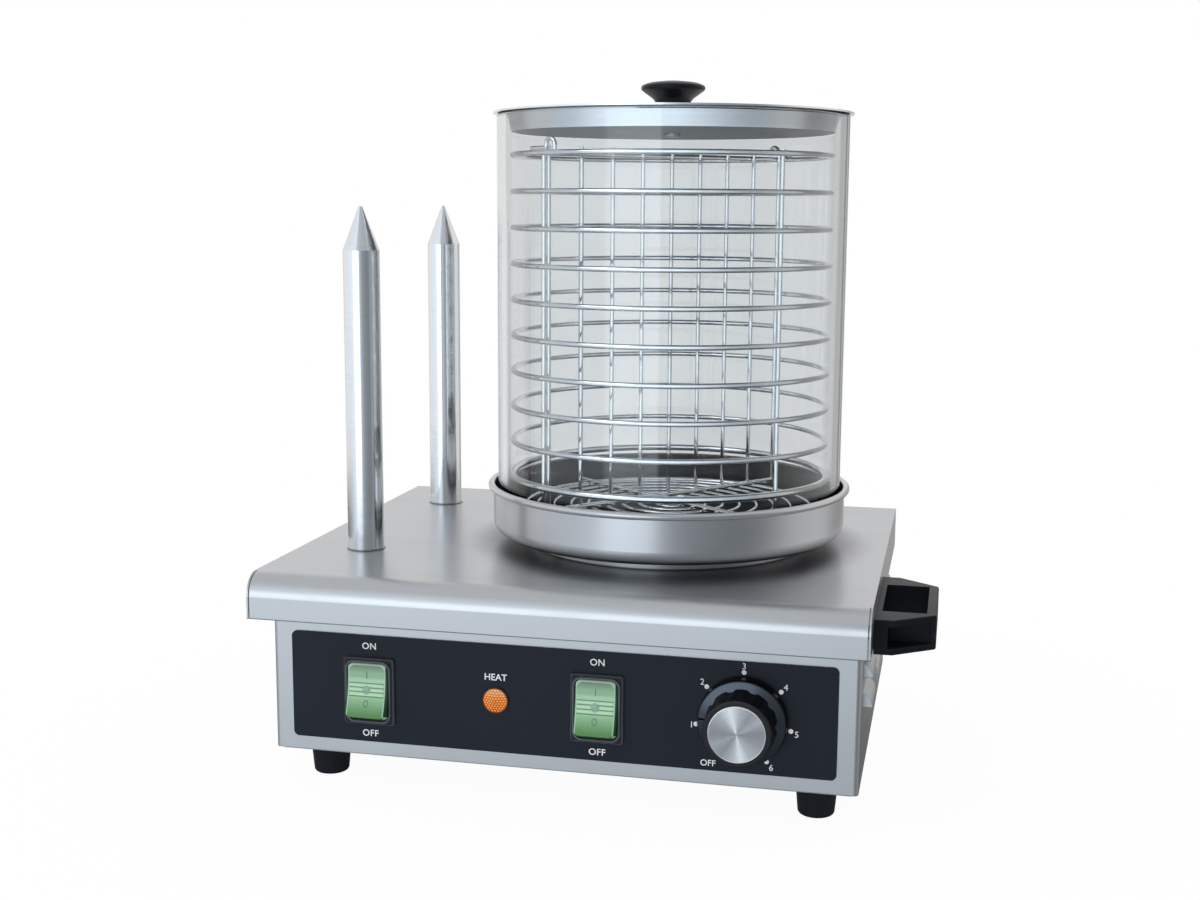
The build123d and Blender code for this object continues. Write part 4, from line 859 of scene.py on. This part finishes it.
class STEAMER_OT_switches(bpy.types.Operator):
    """Glossy switch frames and the green rockers with their ribs and marks"""
    bl_idname = "steamer.switches"
    bl_label = "Switches"

    def execute(self, context):
        controls = context.scene.steamer_controls
        for side in SWITCHES:
            self.dress_frame(side, controls)
            self.dress_rocker(side, controls)
            self.make_ribs(side, controls)
            self.make_marks(side, controls)
        return {"FINISHED"}

    def dress_frame(self, side, controls):
        low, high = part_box(f"{side}_switch_frame")
        centre = (low + high) / 2
        gloss, tree, shader, place = new_finish(f"{side}_frame_gloss", controls.bezel_colour, 0.30,
                                                specular=0.35)
        skin = effect(tree, "moulded_skin", Vector=place, Fineness=2400.0)
        edges = effect(tree, "rounded_edges", Radius=0.0005)
        # Painted highlight on the rim round the rocker, on the outer bevel and on sharp edges.
        rim = calc("ABSOLUTE", rounded_distance(place, centre, controls.rim_half_width,
                                                controls.rim_half_height, 0.0046))
        line = spread(rim, 0.00042, 0.00018, smooth=True)
        outer = rounded_distance(place, centre, (high.x - low.x) / 2, (high.z - low.z) / 2, 0.0015)
        bevel = times(spread(outer, -0.0009, -0.0004, smooth=True), 0.55)
        wear_and_highlight = calc("MAXIMUM", calc("MAXIMUM", line, bevel), edges["Edge"])
        feed(shader, "Base Color", tint(wear_and_highlight, controls.bezel_colour, controls.bezel_edge))
        feed(shader, "Roughness", calc("MULTIPLY_ADD", skin["Patches"], 0.05, 0.28))
        bumped(shader, skin["Skin"], 0.04, 0.00005, edges["Normal"])
        dress(gloss, f"{side}_switch_frame")

    def dress_rocker(self, side, controls):
        low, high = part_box(f"{side}_rocker")
        centre = (low + high) / 2
        half_width = controls.rocker_half_width
        green, tree, shader, place = new_finish(f"{side}_rocker_green", controls.rocker_top, 0.24, specular=0.4)
        parts = axes(place).outputs
        share = spread(parts[2], low.z, high.z)
        # Painted light and shade: the rocker is lighter towards its top, darker at its foot and along its very
        # top.
        painted_light_bands = steps(share, [(0.0, in_shades(controls.rocker_bottom, 0.65)), (0.16, controls.rocker_bottom),
                              (0.32, tuple((top + 1.2 * low_end) / 2.2 for top,
                                           low_end in zip(controls.rocker_top, controls.rocker_bottom))),
                              (0.52, controls.rocker_top), (0.74, controls.rocker_top),
                              (0.77, in_shades(controls.rocker_top, 0.78)),
                              (0.84, in_shades(controls.rocker_top, 0.80)),
                              (1.0, in_shades(controls.rocker_pale, 0.34))])
        above = minus(parts[2], CONTROL_LINE + controls.rib_place)
        # Painted shade in the grooves between the ribs.
        nearest = calc("PINGPONG", plus(above, controls.rib_pitch * 8), controls.rib_pitch / 2)
        groove_shade = spread(nearest, controls.rib_pitch / 2 - 0.00045, controls.rib_pitch / 2 - 0.0001, smooth=True)
        inside = calc("LESS_THAN", calc("ABSOLUTE", above), controls.rib_pitch * 1.8)
        groove_shaded = tint(times(groove_shade, inside), painted_light_bands, vector_calc("MULTIPLY", painted_light_bands, (0.30, 0.36, 0.34)))
        aside = calc("ABSOLUTE", minus(parts[0], centre.x))
        edge = rounded_distance(place, centre, half_width, (high.z - low.z) / 2, 0.0042)
        # Painted highlight along the rocker's edge.
        lip = spread(edge, -0.0009, -0.0005, smooth=True)
        edged = tint(times(lip, 0.8), groove_shaded, controls.rocker_pale)
        # Painted shade: the rocker's sides are painted far darker.
        flank = calc("GREATER_THAN", aside, half_width - 0.00015)
        sides = vector_calc("MULTIPLY", painted_light_bands, (0.10, 0.22, 0.14))
        final = tint(flank, edged, sides)
        feed(shader, "Base Color", final)
        feed(shader, "Emission Color", final)
        shader.inputs["Emission Strength"].default_value = controls.rocker_glow
        edges = effect(tree, "rounded_edges", Radius=0.0006)
        skin = effect(tree, "moulded_skin", Vector=place, Fineness=2000.0)
        bumped(shader, skin["Skin"], 0.03, 0.00005, edges["Normal"])
        dress(green, f"{side}_rocker")

    def make_ribs(self, side, controls):
        """Ribs across the rocker's middle, with a round pad on them; the ribs are painted lighter than the
        rocker as a painted highlight.
        """
        pale, tree, shader, place = new_finish(f"{side}_rib_green", controls.rib_colour, 0.22, specular=0.4)
        skin = effect(tree, "moulded_skin", Vector=place, Fineness=2000.0)
        shade = shades(skin["Patches"], controls.rib_colour, 0.9, 1.0)
        flat = vector_calc("LENGTH", vector_calc("MULTIPLY",
                                                 vector_calc("SUBTRACT", place,
                                                             (middle(f"{side}_rocker").x, 0.0,
                                                              CONTROL_LINE + controls.rib_place)),
                                                 (1.0, 0.0, 1.0)), output=1)
        pad = calc("LESS_THAN", flat, controls.dome_radius + 0.0001)
        shade = tint(pad, shade, controls.dome_colour)
        feed(shader, "Base Color", shade)
        feed(shader, "Emission Color", shade)
        shader.inputs["Emission Strength"].default_value = controls.rocker_glow
        x, z = middle(f"{side}_rocker").x, CONTROL_LINE + controls.rib_place
        height = front_of(f"{side}_rocker")
        work = bmesh.new()
        for row in (-1, 0, 1):
            add_bar(work, 2 * (controls.rocker_half_width - 0.0012), controls.rib_width,
                    2 * controls.rib_height, 12, height, x, z + row * controls.rib_pitch)
        pad = bmesh.ops.create_uvsphere(work, u_segments=32, v_segments=12,
                                        radius=controls.dome_radius)["verts"]
        bmesh.ops.scale(work, verts=pad, vec=(1.0, 0.34, 1.0))
        lay_on(pad, lambda a, b: height(x, z), x, z)
        finish_mesh(work, f"{side}_rocker_ribs", pale, f"{side}_rocker")

    def make_marks(self, side, controls):
        """The I and O marks above and below the ribs."""
        dark, tree, shader, place = new_finish(f"{side}_mark_green", controls.mark_colour, 0.4)
        wear_and_highlight = add(tree, "ShaderNodeTexNoise", {"Vector": place, "Scale": 1200.0, "Detail": 2.0})
        feed(shader, "Base Color", shades(spread(wear_and_highlight.outputs[0], 0.45, 0.75), controls.mark_colour, 1.0, 1.3))
        x = middle(f"{side}_rocker").x
        height = front_of(f"{side}_rocker")
        thin = controls.mark_width
        work = bmesh.new()
        stroke = bmesh.ops.create_cube(work, size=1.0,
                                       matrix=Matrix.Diagonal((thin, 0.0003, 0.0036, 1.0)))["verts"]
        lay_on(stroke, height, x, CONTROL_LINE + controls.rib_place + 0.0079)
        upright = Matrix.Diagonal((1.0, 1.0, 1.35, 1.0)) @ Matrix.Rotation(radians(90), 4, "X")
        ring = [bmesh.ops.create_circle(work, radius=radius, segments=32, matrix=upright)["verts"]
                for radius in (0.0010, 0.0010 + thin)]
        loops = [edge for loop in ring for edge in {edge for vert in loop for edge in vert.link_edges}]
        bmesh.ops.bridge_loops(work, edges=loops)
        lay_on([vert for loop in ring for vert in loop], height, x, CONTROL_LINE + controls.rib_place - 0.0072,
               0.00012)
        rounded = list({face for loop in ring for vert in loop for face in vert.link_faces})
        bmesh.ops.solidify(work, geom=rounded, thickness=0.0002)
        finish_mesh(work, f"{side}_rocker_marks", dark, f"{side}_rocker")


class STEAMER_OT_pilot_lamp(bpy.types.Operator):
    """Orange lens with its honeycomb, and the lamp behind it"""
    bl_idname = "steamer.pilot_lamp"
    bl_label = "Pilot lamp"

    def execute(self, context):
        controls = context.scene.steamer_controls
        orange, tree, shader, place = new_finish("lamp_orange", controls.lamp_colour, 0.3, specular=0.3)
        local = moved_to(place, LAMP)
        cells = effect(tree, "honeycomb", Vector=local, Pitch=controls.honeycomb_pitch)
        parts = axes(local).outputs
        flat = add(tree, "ShaderNodeCombineXYZ", {0: parts[0], 1: parts[2]}).outputs[0]
        radius = vector_calc("LENGTH", flat, output=1)
        height = spread(parts[2], -0.0065, 0.0065)
        # Painted light: the lens is painted lighter towards its top.
        painted_light_fade = steps(height, [(0.0, screen(208, 84, 14)), (0.30, screen(232, 116, 20)),
                                (0.62, screen(230, 132, 40)), (1.0, screen(240, 180, 128))])
        # Painted shade in the lines between the cells.
        base = tint(cells["Line"], painted_light_fade, vector_calc("MULTIPLY", painted_light_fade, (0.42, 0.24, 0.12)))
        # Painted highlight on each cell's dome.
        base = tint(times(spread(cells["Dome"], 0.35, 0.80), 0.65), base, screen(255, 206, 130))
        # Painted shade: a dark ring round the lens's edge.
        base = tint(spread(radius, 0.0060, 0.0068), base, screen(70, 24, 12))
        feed(shader, "Base Color", base)
        feed(shader, "Emission Color", base)
        shader.inputs["Emission Strength"].default_value = controls.lamp_glow
        bumped(shader, cells["Dome"], 0.6, 0.0003)
        dress(orange, "pilot_lens")
        black, tree, shader, place = new_finish("lamp_black", controls.bezel_colour, 0.4)
        skin = effect(tree, "moulded_skin", Vector=place, Fineness=1500.0)
        feed(shader, "Base Color", shades(skin["Patches"], controls.bezel_colour, 0.7, 1.4))
        dress(black, "pilot_lamp_body", "pilot_lamp_nut")
        return {"FINISHED"}


class STEAMER_OT_knob(bpy.types.Operator):
    """Satin black control knob with a spun aluminium cap; painted shade darkens the knob's fluted sides, painted
    highlights lighten its edges, and painted highlight rays lie round the cap
    """
    bl_idname = "steamer.control_knob"
    bl_label = "Control knob"

    def execute(self, context):
        controls = context.scene.steamer_controls
        low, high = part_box("knob_cap")
        centre = (low + high) / 2
        black, tree, shader, place = new_finish("knob_black", controls.knob_colour, 0.34, specular=0.3)
        skin = effect(tree, "moulded_skin", Vector=place, Fineness=2000.0)
        edges = effect(tree, "rounded_edges", Radius=0.0006)
        outwards = vector_calc("MULTIPLY", vector_calc("SUBTRACT", place, tuple(centre)), (1, 0, 1))
        true = add(tree, "ShaderNodeNewGeometry").outputs["True Normal"]
        facing = spread(axes(true).outputs[1], -0.6, -0.9)
        front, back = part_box("thermostat_knob")
        depth = axes(place).outputs[1]
        skirt = times(facing, calc("GREATER_THAN", depth, (front.y + back.y) / 2))
        # Painted shade: the knob's sides are painted darker than its face.
        face = tint(facing, controls.knob_side, controls.knob_colour)
        # Painted highlight on the knob's sharp edges.
        face = tint(times(edges["Edge"], 0.7), face, in_shades(controls.knob_colour, 2.2))
        turn = calc("ARCTAN2", *(axes(outwards).outputs[i] for i in (2, 0)))
        face = tint(skirt, face, controls.skirt_colour)
        pointer = times(skirt, spread(calc("ABSOLUTE", minus(turn, POINTER_TURN)), *POINTER_EDGE))
        face = tint(pointer, face, (0.0, 0.0, 0.0))
        feed(shader, "Base Color", face)
        feed(shader, "Metallic", skirt)
        rough = calc("MULTIPLY_ADD", skin["Patches"], 0.06, 0.31)
        feed(shader, "Roughness", calc("MULTIPLY_ADD", skirt, -0.13, rough))
        sloping = vector_calc("ADD", vector_calc("NORMALIZE", outwards), (0.0, -4.2, 0.0))
        sloped = vector_calc("NORMALIZE", sloping)
        blended = add(tree, "ShaderNodeMix", data_type="VECTOR")
        for index, value in ((0, skirt), (4, edges["Normal"]), (5, sloped)):
            tree.links.new(value, blended.inputs[index])
        bumped(shader, skin["Skin"], 0.05, 0.00005, blended.outputs[1])
        dress(black, "thermostat_knob")

        cap, tree, shader, place = new_finish("knob_cap_aluminium", controls.cap_colour, 0.46, 1.0)
        local = moved_to(place, centre, (radians(90), 0.0, 0.0))
        grain = effect(tree, "turned_grain", Vector=local, Fineness=3500.0)
        outwards = vector_calc("MULTIPLY", vector_calc("SUBTRACT", place, tuple(centre)), (1, 0, 1))
        radius = vector_calc("LENGTH", outwards, output=1)
        turn = calc("ARCTAN2", *(axes(outwards).outputs[i] for i in (2, 0)))
        # Painted highlight: bright rays by angle round the cap stand in for the spun metal's highlights.
        rays = steps(calc("MULTIPLY_ADD", turn, 1 / (2 * pi), 0.5),
                     [(0.0, 0.62), (0.072, 0.92), (0.15, 0.56), (0.23, 0.72), (0.278, 1.0), (0.34, 0.60),
                      (0.44, 0.54), (0.53, 0.66), (0.589, 0.96), (0.66, 0.58), (0.73, 0.66), (0.794, 1.0),
                      (0.87, 0.60), (0.95, 0.54), (1.0, 0.62)])
        lined = shades(grain["Lines"], controls.cap_colour, 0.95, 1.05)
        # The turned lines carry the painted highlight rays.
        turned = tint(1.0, lined, rays, blend="MULTIPLY")
        rim = spread(radius, (high.x - low.x) / 2 - 0.0007, (high.x - low.x) / 2 - 0.0004)
        feed(shader, "Base Color", tint(rim, turned, (0.93, 0.94, 0.95)))
        shader.inputs["Anisotropic"].default_value = 0.9
        feed(shader, "Tangent", vector_calc("NORMALIZE", outwards))
        bumped(shader, grain["Lines"], 0.08, 0.00002)
        dress(cap, "knob_cap")
        return {"FINISHED"}


class STEAMER_OT_mouldings(bpy.types.Operator):
    """Side handle, rubber feet and cable gland"""
    bl_idname = "steamer.mouldings"
    bl_label = "Mouldings and feet"

    def execute(self, context):
        moulding = context.scene.steamer_mouldings
        for name, colour, rough, radius, nodes in (("handle_black", moulding.handle_colour, 0.36, 0.0007,
                                                    ("side_handle",)),
                                                   ("foot_rubber", moulding.rubber_colour, 0.55, 0.0006,
                                                    ("foot_front_left", "foot_front_right", "foot_rear_left",
                                                     "foot_rear_right")),
                                                   ("gland_black", moulding.gland_colour, 0.4, 0.0005,
                                                    ("cable_gland", "gland_nut"))):
            material, tree, shader, place = new_finish(name, colour, rough, specular=0.1)
            skin = effect(tree, "moulded_skin", Vector=place, Fineness=1500.0)
            edges = effect(tree, "rounded_edges", Radius=radius)
            marks = effect(tree, "handling_marks", Vector=place, Scale=25.0)
            # Painted highlight on the sharp edges; the lighter wiping marks are real marks.
            wear_and_highlight = shades(times(edges["Edge"], 0.6), colour, 1.0, 2.2)
            feed(shader, "Base Color", tint(times(marks["Wipes"], 0.25), wear_and_highlight, in_shades(colour, 1.8)))
            feed(shader, "Roughness", calc("MULTIPLY_ADD", skin["Patches"], 0.08, rough - 0.04))
            bumped(shader, skin["Skin"], 0.12, 0.0001, edges["Normal"])
            dress(material, *nodes)
        return {"FINISHED"}


# ======== Stage ========
def seen_straight(rays):
    """1 where the camera looks at the backdrop itself or through glass, 0 in a reflection."""
    looking = calc("MAXIMUM", rays["Is Camera Ray"], rays["Is Transmission Ray"])
    return times(looking, calc("LESS_THAN", rays["Glossy Depth"], 0.5))


class STEAMER_OT_stage(bpy.types.Operator):
    """Pale floor, studio surroundings, a soft lamp and the camera"""
    bl_idname = "steamer.stage"
    bl_label = "Stage"

    def execute(self, context):
        stage = context.scene.steamer_stage
        self.make_floor(stage)
        self.make_world(context.scene)
        self.make_lamp()
        self.make_camera(context.scene, stage)
        context.scene.view_settings.view_transform = "Standard"
        return {"FINISHED"}

    def make_floor(self, stage):
        material = bpy.data.materials.new("floor_white")
        material.use_nodes = True
        tree = material.node_tree
        tree.nodes.clear()
        rays = add(tree, "ShaderNodeLightPath").outputs
        below = add(tree, "ShaderNodeNewGeometry").outputs["Backfacing"]
        place = add(tree, "ShaderNodeTexCoord").outputs["Object"]
        dust = add(tree, "ShaderNodeTexNoise", {"Vector": place, "Scale": 6.0})
        reach = vector_calc("LENGTH", place, output=1)
        share = spread(reach, 0.20, 0.42, stage.floor_shadow, 0.0, smooth=True)
        paper = add(tree, "ShaderNodeBsdfDiffuse", {"Color": tint(dust.outputs[0], (0.90, 0.90, 0.90),
                                                                  (0.92, 0.92, 0.92))}).outputs[0]
        white = add(tree, "ShaderNodeEmission", {"Color": (1, 1, 1, 1), "Strength": 1.0}).outputs[0]
        clear = add(tree, "ShaderNodeBsdfTransparent").outputs[0]
        seen = add(tree, "ShaderNodeMixShader", {0: share, 1: white, 2: paper}).outputs[0]
        direct = seen_straight(rays)
        shown = add(tree, "ShaderNodeMixShader", {0: direct, 1: paper, 2: seen}).outputs[0]
        mirrored = minus(rays["Is Transmission Ray"], direct)
        open_to = calc("MAXIMUM", calc("MAXIMUM", rays["Is Glossy Ray"], mirrored), below)
        last = add(tree, "ShaderNodeMixShader", {0: open_to, 1: shown, 2: clear}).outputs[0]
        add(tree, "ShaderNodeOutputMaterial", {"Surface": last})
        work = bmesh.new()
        bmesh.ops.create_grid(work, x_segments=1, y_segments=1, size=stage.floor_half_width)
        bmesh.ops.translate(work, verts=work.verts, vec=(0, 0, -0.0002))
        mesh = bpy.data.meshes.new("floor")
        work.to_mesh(mesh)
        work.free()
        mesh.materials.append(material)
        floor = bpy.data.objects.new("floor", mesh)
        bpy.context.scene.collection.objects.link(floor)

    def make_world(self, scene):
        world = bpy.data.worlds.new("studio")
        scene.world = world
        world.use_nodes = True
        tree = world.node_tree
        tree.nodes.clear()
        way = add(tree, "ShaderNodeTexCoord").outputs["Generated"]
        parts = axes(way).outputs
        azimuth = calc("MULTIPLY_ADD", calc("ARCTAN2", parts[1], parts[0]), 1 / (2 * pi), 0.5)

        def round_the_room(*stops):
            cool, plain = (0.91, 1.0, 1.09), (1.0, 1.0, 1.0)
            return steps(azimuth, [((angle + 180) / 360,
                                    tuple(shade * part for part in (cool if -170 < angle < -12 else plain)))
                                   for angle, shade in stops])

        walls = round_the_room((-180, 0.95), (-150, 1.00), (-126, 1.08), (-123.5, 1.10), (-121.5, 2.10),
                               (-87.5, 2.10), (-86, 0.72), (-75, 0.50), (-66, 0.36), (-48, 0.28), (-30, 0.25),
                               (-20, 0.31), (-9, 0.53), (4, 0.79), (22, 0.79), (44, 0.85), (49, 0.50),
                               (54, 0.70), (62, 0.50), (82, 0.50), (92, 0.90), (138, 0.90), (143, 0.92),
                               (146, 0.50), (150, 0.92), (180, 0.95))
        low = round_the_room((-180, 0.30), (-162, 0.45), (-146, 0.66), (-130, 0.88), (-116, 0.93), (-106, 0.82),
                             (-98, 0.70), (-90, 0.57), (-82, 0.42), (-74, 0.31), (-60, 0.25), (-36, 0.20),
                             (-20, 0.22), (-10, 0.32), (3, 0.55), (14, 0.72), (30, 0.80), (44, 0.60),
                             (58, 0.28), (80, 0.26), (94, 0.90), (124, 0.90), (137, 0.24), (154, 0.20),
                             (180, 0.30))
        ground = round_the_room((-180, 0.34), (-150, 0.42), (-118, 0.46), (-100, 0.42), (-80, 0.40),
                                (-40, 0.34), (0, 0.30), (40, 0.16), (60, 0.10), (90, 0.10), (104, 0.34),
                                (112, 0.50), (150, 0.34), (180, 0.34))
        low = tint(spread(parts[2], -0.235, -0.33, smooth=True), low, ground)
        low = tint(spread(parts[2], -0.36, -0.80), low, (0.16, 0.17, 0.18))
        screens = tint(spread(parts[2], -0.19, -0.165, smooth=True), low, walls)
        belt = round_the_room((-180, 0.90), (-140, 0.95), (-112, 1.05), (-103, 0.90), (-96, 0.60), (-88, 0.48),
                              (-60, 0.40), (-30, 0.40), (-8, 0.60), (10, 0.80), (60, 0.90), (180, 0.90))
        raised = tint(spread(parts[2], 0.17, 0.29, smooth=True), screens, belt)
        sky = tint(spread(parts[2], 0.56, 0.78, smooth=True), raised, (0.70, 0.72, 0.75))
        rays = add(tree, "ShaderNodeLightPath").outputs
        soft = tint(rays["Is Diffuse Ray"], sky, (0.86, 0.87, 0.88))
        seen = tint(seen_straight(rays), soft, (1.0, 1.0, 1.0))
        behind_glass = times(calc("GREATER_THAN", rays["Transmission Depth"], 3.5),
                             calc("GREATER_THAN", rays["Glossy Depth"], 0.5))
        flash = round_the_room((-180, 0.82), (-166, 0.80), (-150, 0.95), (-132, 1.50), (-112, 1.75),
                               (-76, 1.70), (-54, 1.20), (-36, 0.80), (-20, 0.62), (0, 0.72), (14, 0.70),
                               (26, 0.24), (64, 0.24), (76, 0.95), (104, 0.95), (116, 0.24), (152, 0.24),
                               (166, 0.75), (180, 0.82))
        dimmed = times(spread(parts[2], 0.90, 0.66, 0.16, 1.0, smooth=True),
                       spread(parts[2], -0.80, -0.45, 0.20, 1.0, smooth=True))
        glint = vector_calc("SCALE", flash)
        tree.links.new(dimmed, glint.node.inputs["Scale"])
        shine = add(tree, "ShaderNodeBackground", {"Color": tint(behind_glass, seen, glint), "Strength": 1.0})
        add(tree, "ShaderNodeOutputWorld", {"Surface": shine.outputs[0]})

    def make_lamp(self):
        light = bpy.data.lights.new("soft_lamp", "AREA")
        light.shape = "RECTANGLE"
        light.size = 1.1
        light.size_y = 0.8
        light.energy = 9.0
        lamp = bpy.data.objects.new("soft_lamp", light)
        bpy.context.scene.collection.objects.link(lamp)
        place = Vector((-1.0, -1.0, 1.7))
        lamp.location = place
        lamp.rotation_euler = (Vector((0, 0, 0.1)) - place).to_track_quat("-Z", "Y").to_euler()
        lamp.visible_glossy = False

    def make_camera(self, scene, stage):
        yaw, pitch, roll = stage.camera_yaw, stage.camera_pitch, stage.camera_roll
        forward = Vector((-sin(yaw) * cos(pitch), cos(yaw) * cos(pitch), -sin(pitch)))
        level = Vector((cos(yaw), sin(yaw), 0.0))
        upright = level.cross(forward)
        right = level * cos(roll) + upright * sin(roll)
        up = upright * cos(roll) - level * sin(roll)
        data = bpy.data.cameras.new("camera")
        data.sensor_fit = "HORIZONTAL"
        data.sensor_width = 36.0
        data.lens = stage.camera_lens
        data.clip_start = 0.01
        data.clip_end = 50.0
        camera = bpy.data.objects.new("camera", data)
        scene.collection.objects.link(camera)
        turn = Matrix((right, up, -forward)).transposed().to_4x4()
        camera.matrix_world = Matrix.Translation(stage.camera_place) @ turn
        scene.camera = camera


# ======== Sidebar and registration ========
OPERATORS = (STEAMER_OT_sheet_metal, STEAMER_OT_fasteners, STEAMER_OT_water_pan, STEAMER_OT_inner_parts,
             STEAMER_OT_glass, STEAMER_OT_basket, STEAMER_OT_cover, STEAMER_OT_spikes, STEAMER_OT_panel,
             STEAMER_OT_switches, STEAMER_OT_pilot_lamp, STEAMER_OT_knob, STEAMER_OT_mouldings,
             STEAMER_OT_stage,)
SETTINGS = (("steamer_metal", SteamerMetal), ("steamer_controls", SteamerControls),
            ("steamer_glass", SteamerGlass), ("steamer_mouldings", SteamerMouldings),
            ("steamer_stage", SteamerStage),)


class STEAMER_PT_sidebar(bpy.types.Panel):
    """Steps and settings of the steamer"""
    bl_idname = "STEAMER_PT_sidebar"
    bl_label = "Hot dog steamer"
    bl_space_type = "VIEW_3D"
    bl_region_type = "UI"
    bl_category = "Steamer"

    def draw(self, context):
        for operator in OPERATORS:
            self.layout.operator(operator.bl_idname)
        for name, group in SETTINGS:
            box = self.layout.box()
            box.label(text=name.replace("_", " ").capitalize())
            for setting in group.__annotations__:
                box.prop(getattr(context.scene, name), setting)


def register():
    for name, group in SETTINGS:
        bpy.utils.register_class(group)
        setattr(bpy.types.Scene, name, PointerProperty(type=group))
    for operator in OPERATORS:
        bpy.utils.register_class(operator)
    bpy.utils.register_class(STEAMER_PT_sidebar)


def unregister():
    bpy.utils.unregister_class(STEAMER_PT_sidebar)
    for operator in reversed(OPERATORS):
        bpy.utils.unregister_class(operator)
    for name, group in reversed(SETTINGS):
        delattr(bpy.types.Scene, name)
        bpy.utils.unregister_class(group)


def main():
    register()
    for operator in OPERATORS:
        family, step = operator.bl_idname.split(".")
        getattr(getattr(bpy.ops, family), step)()


if __name__ == "__main__":
    main()
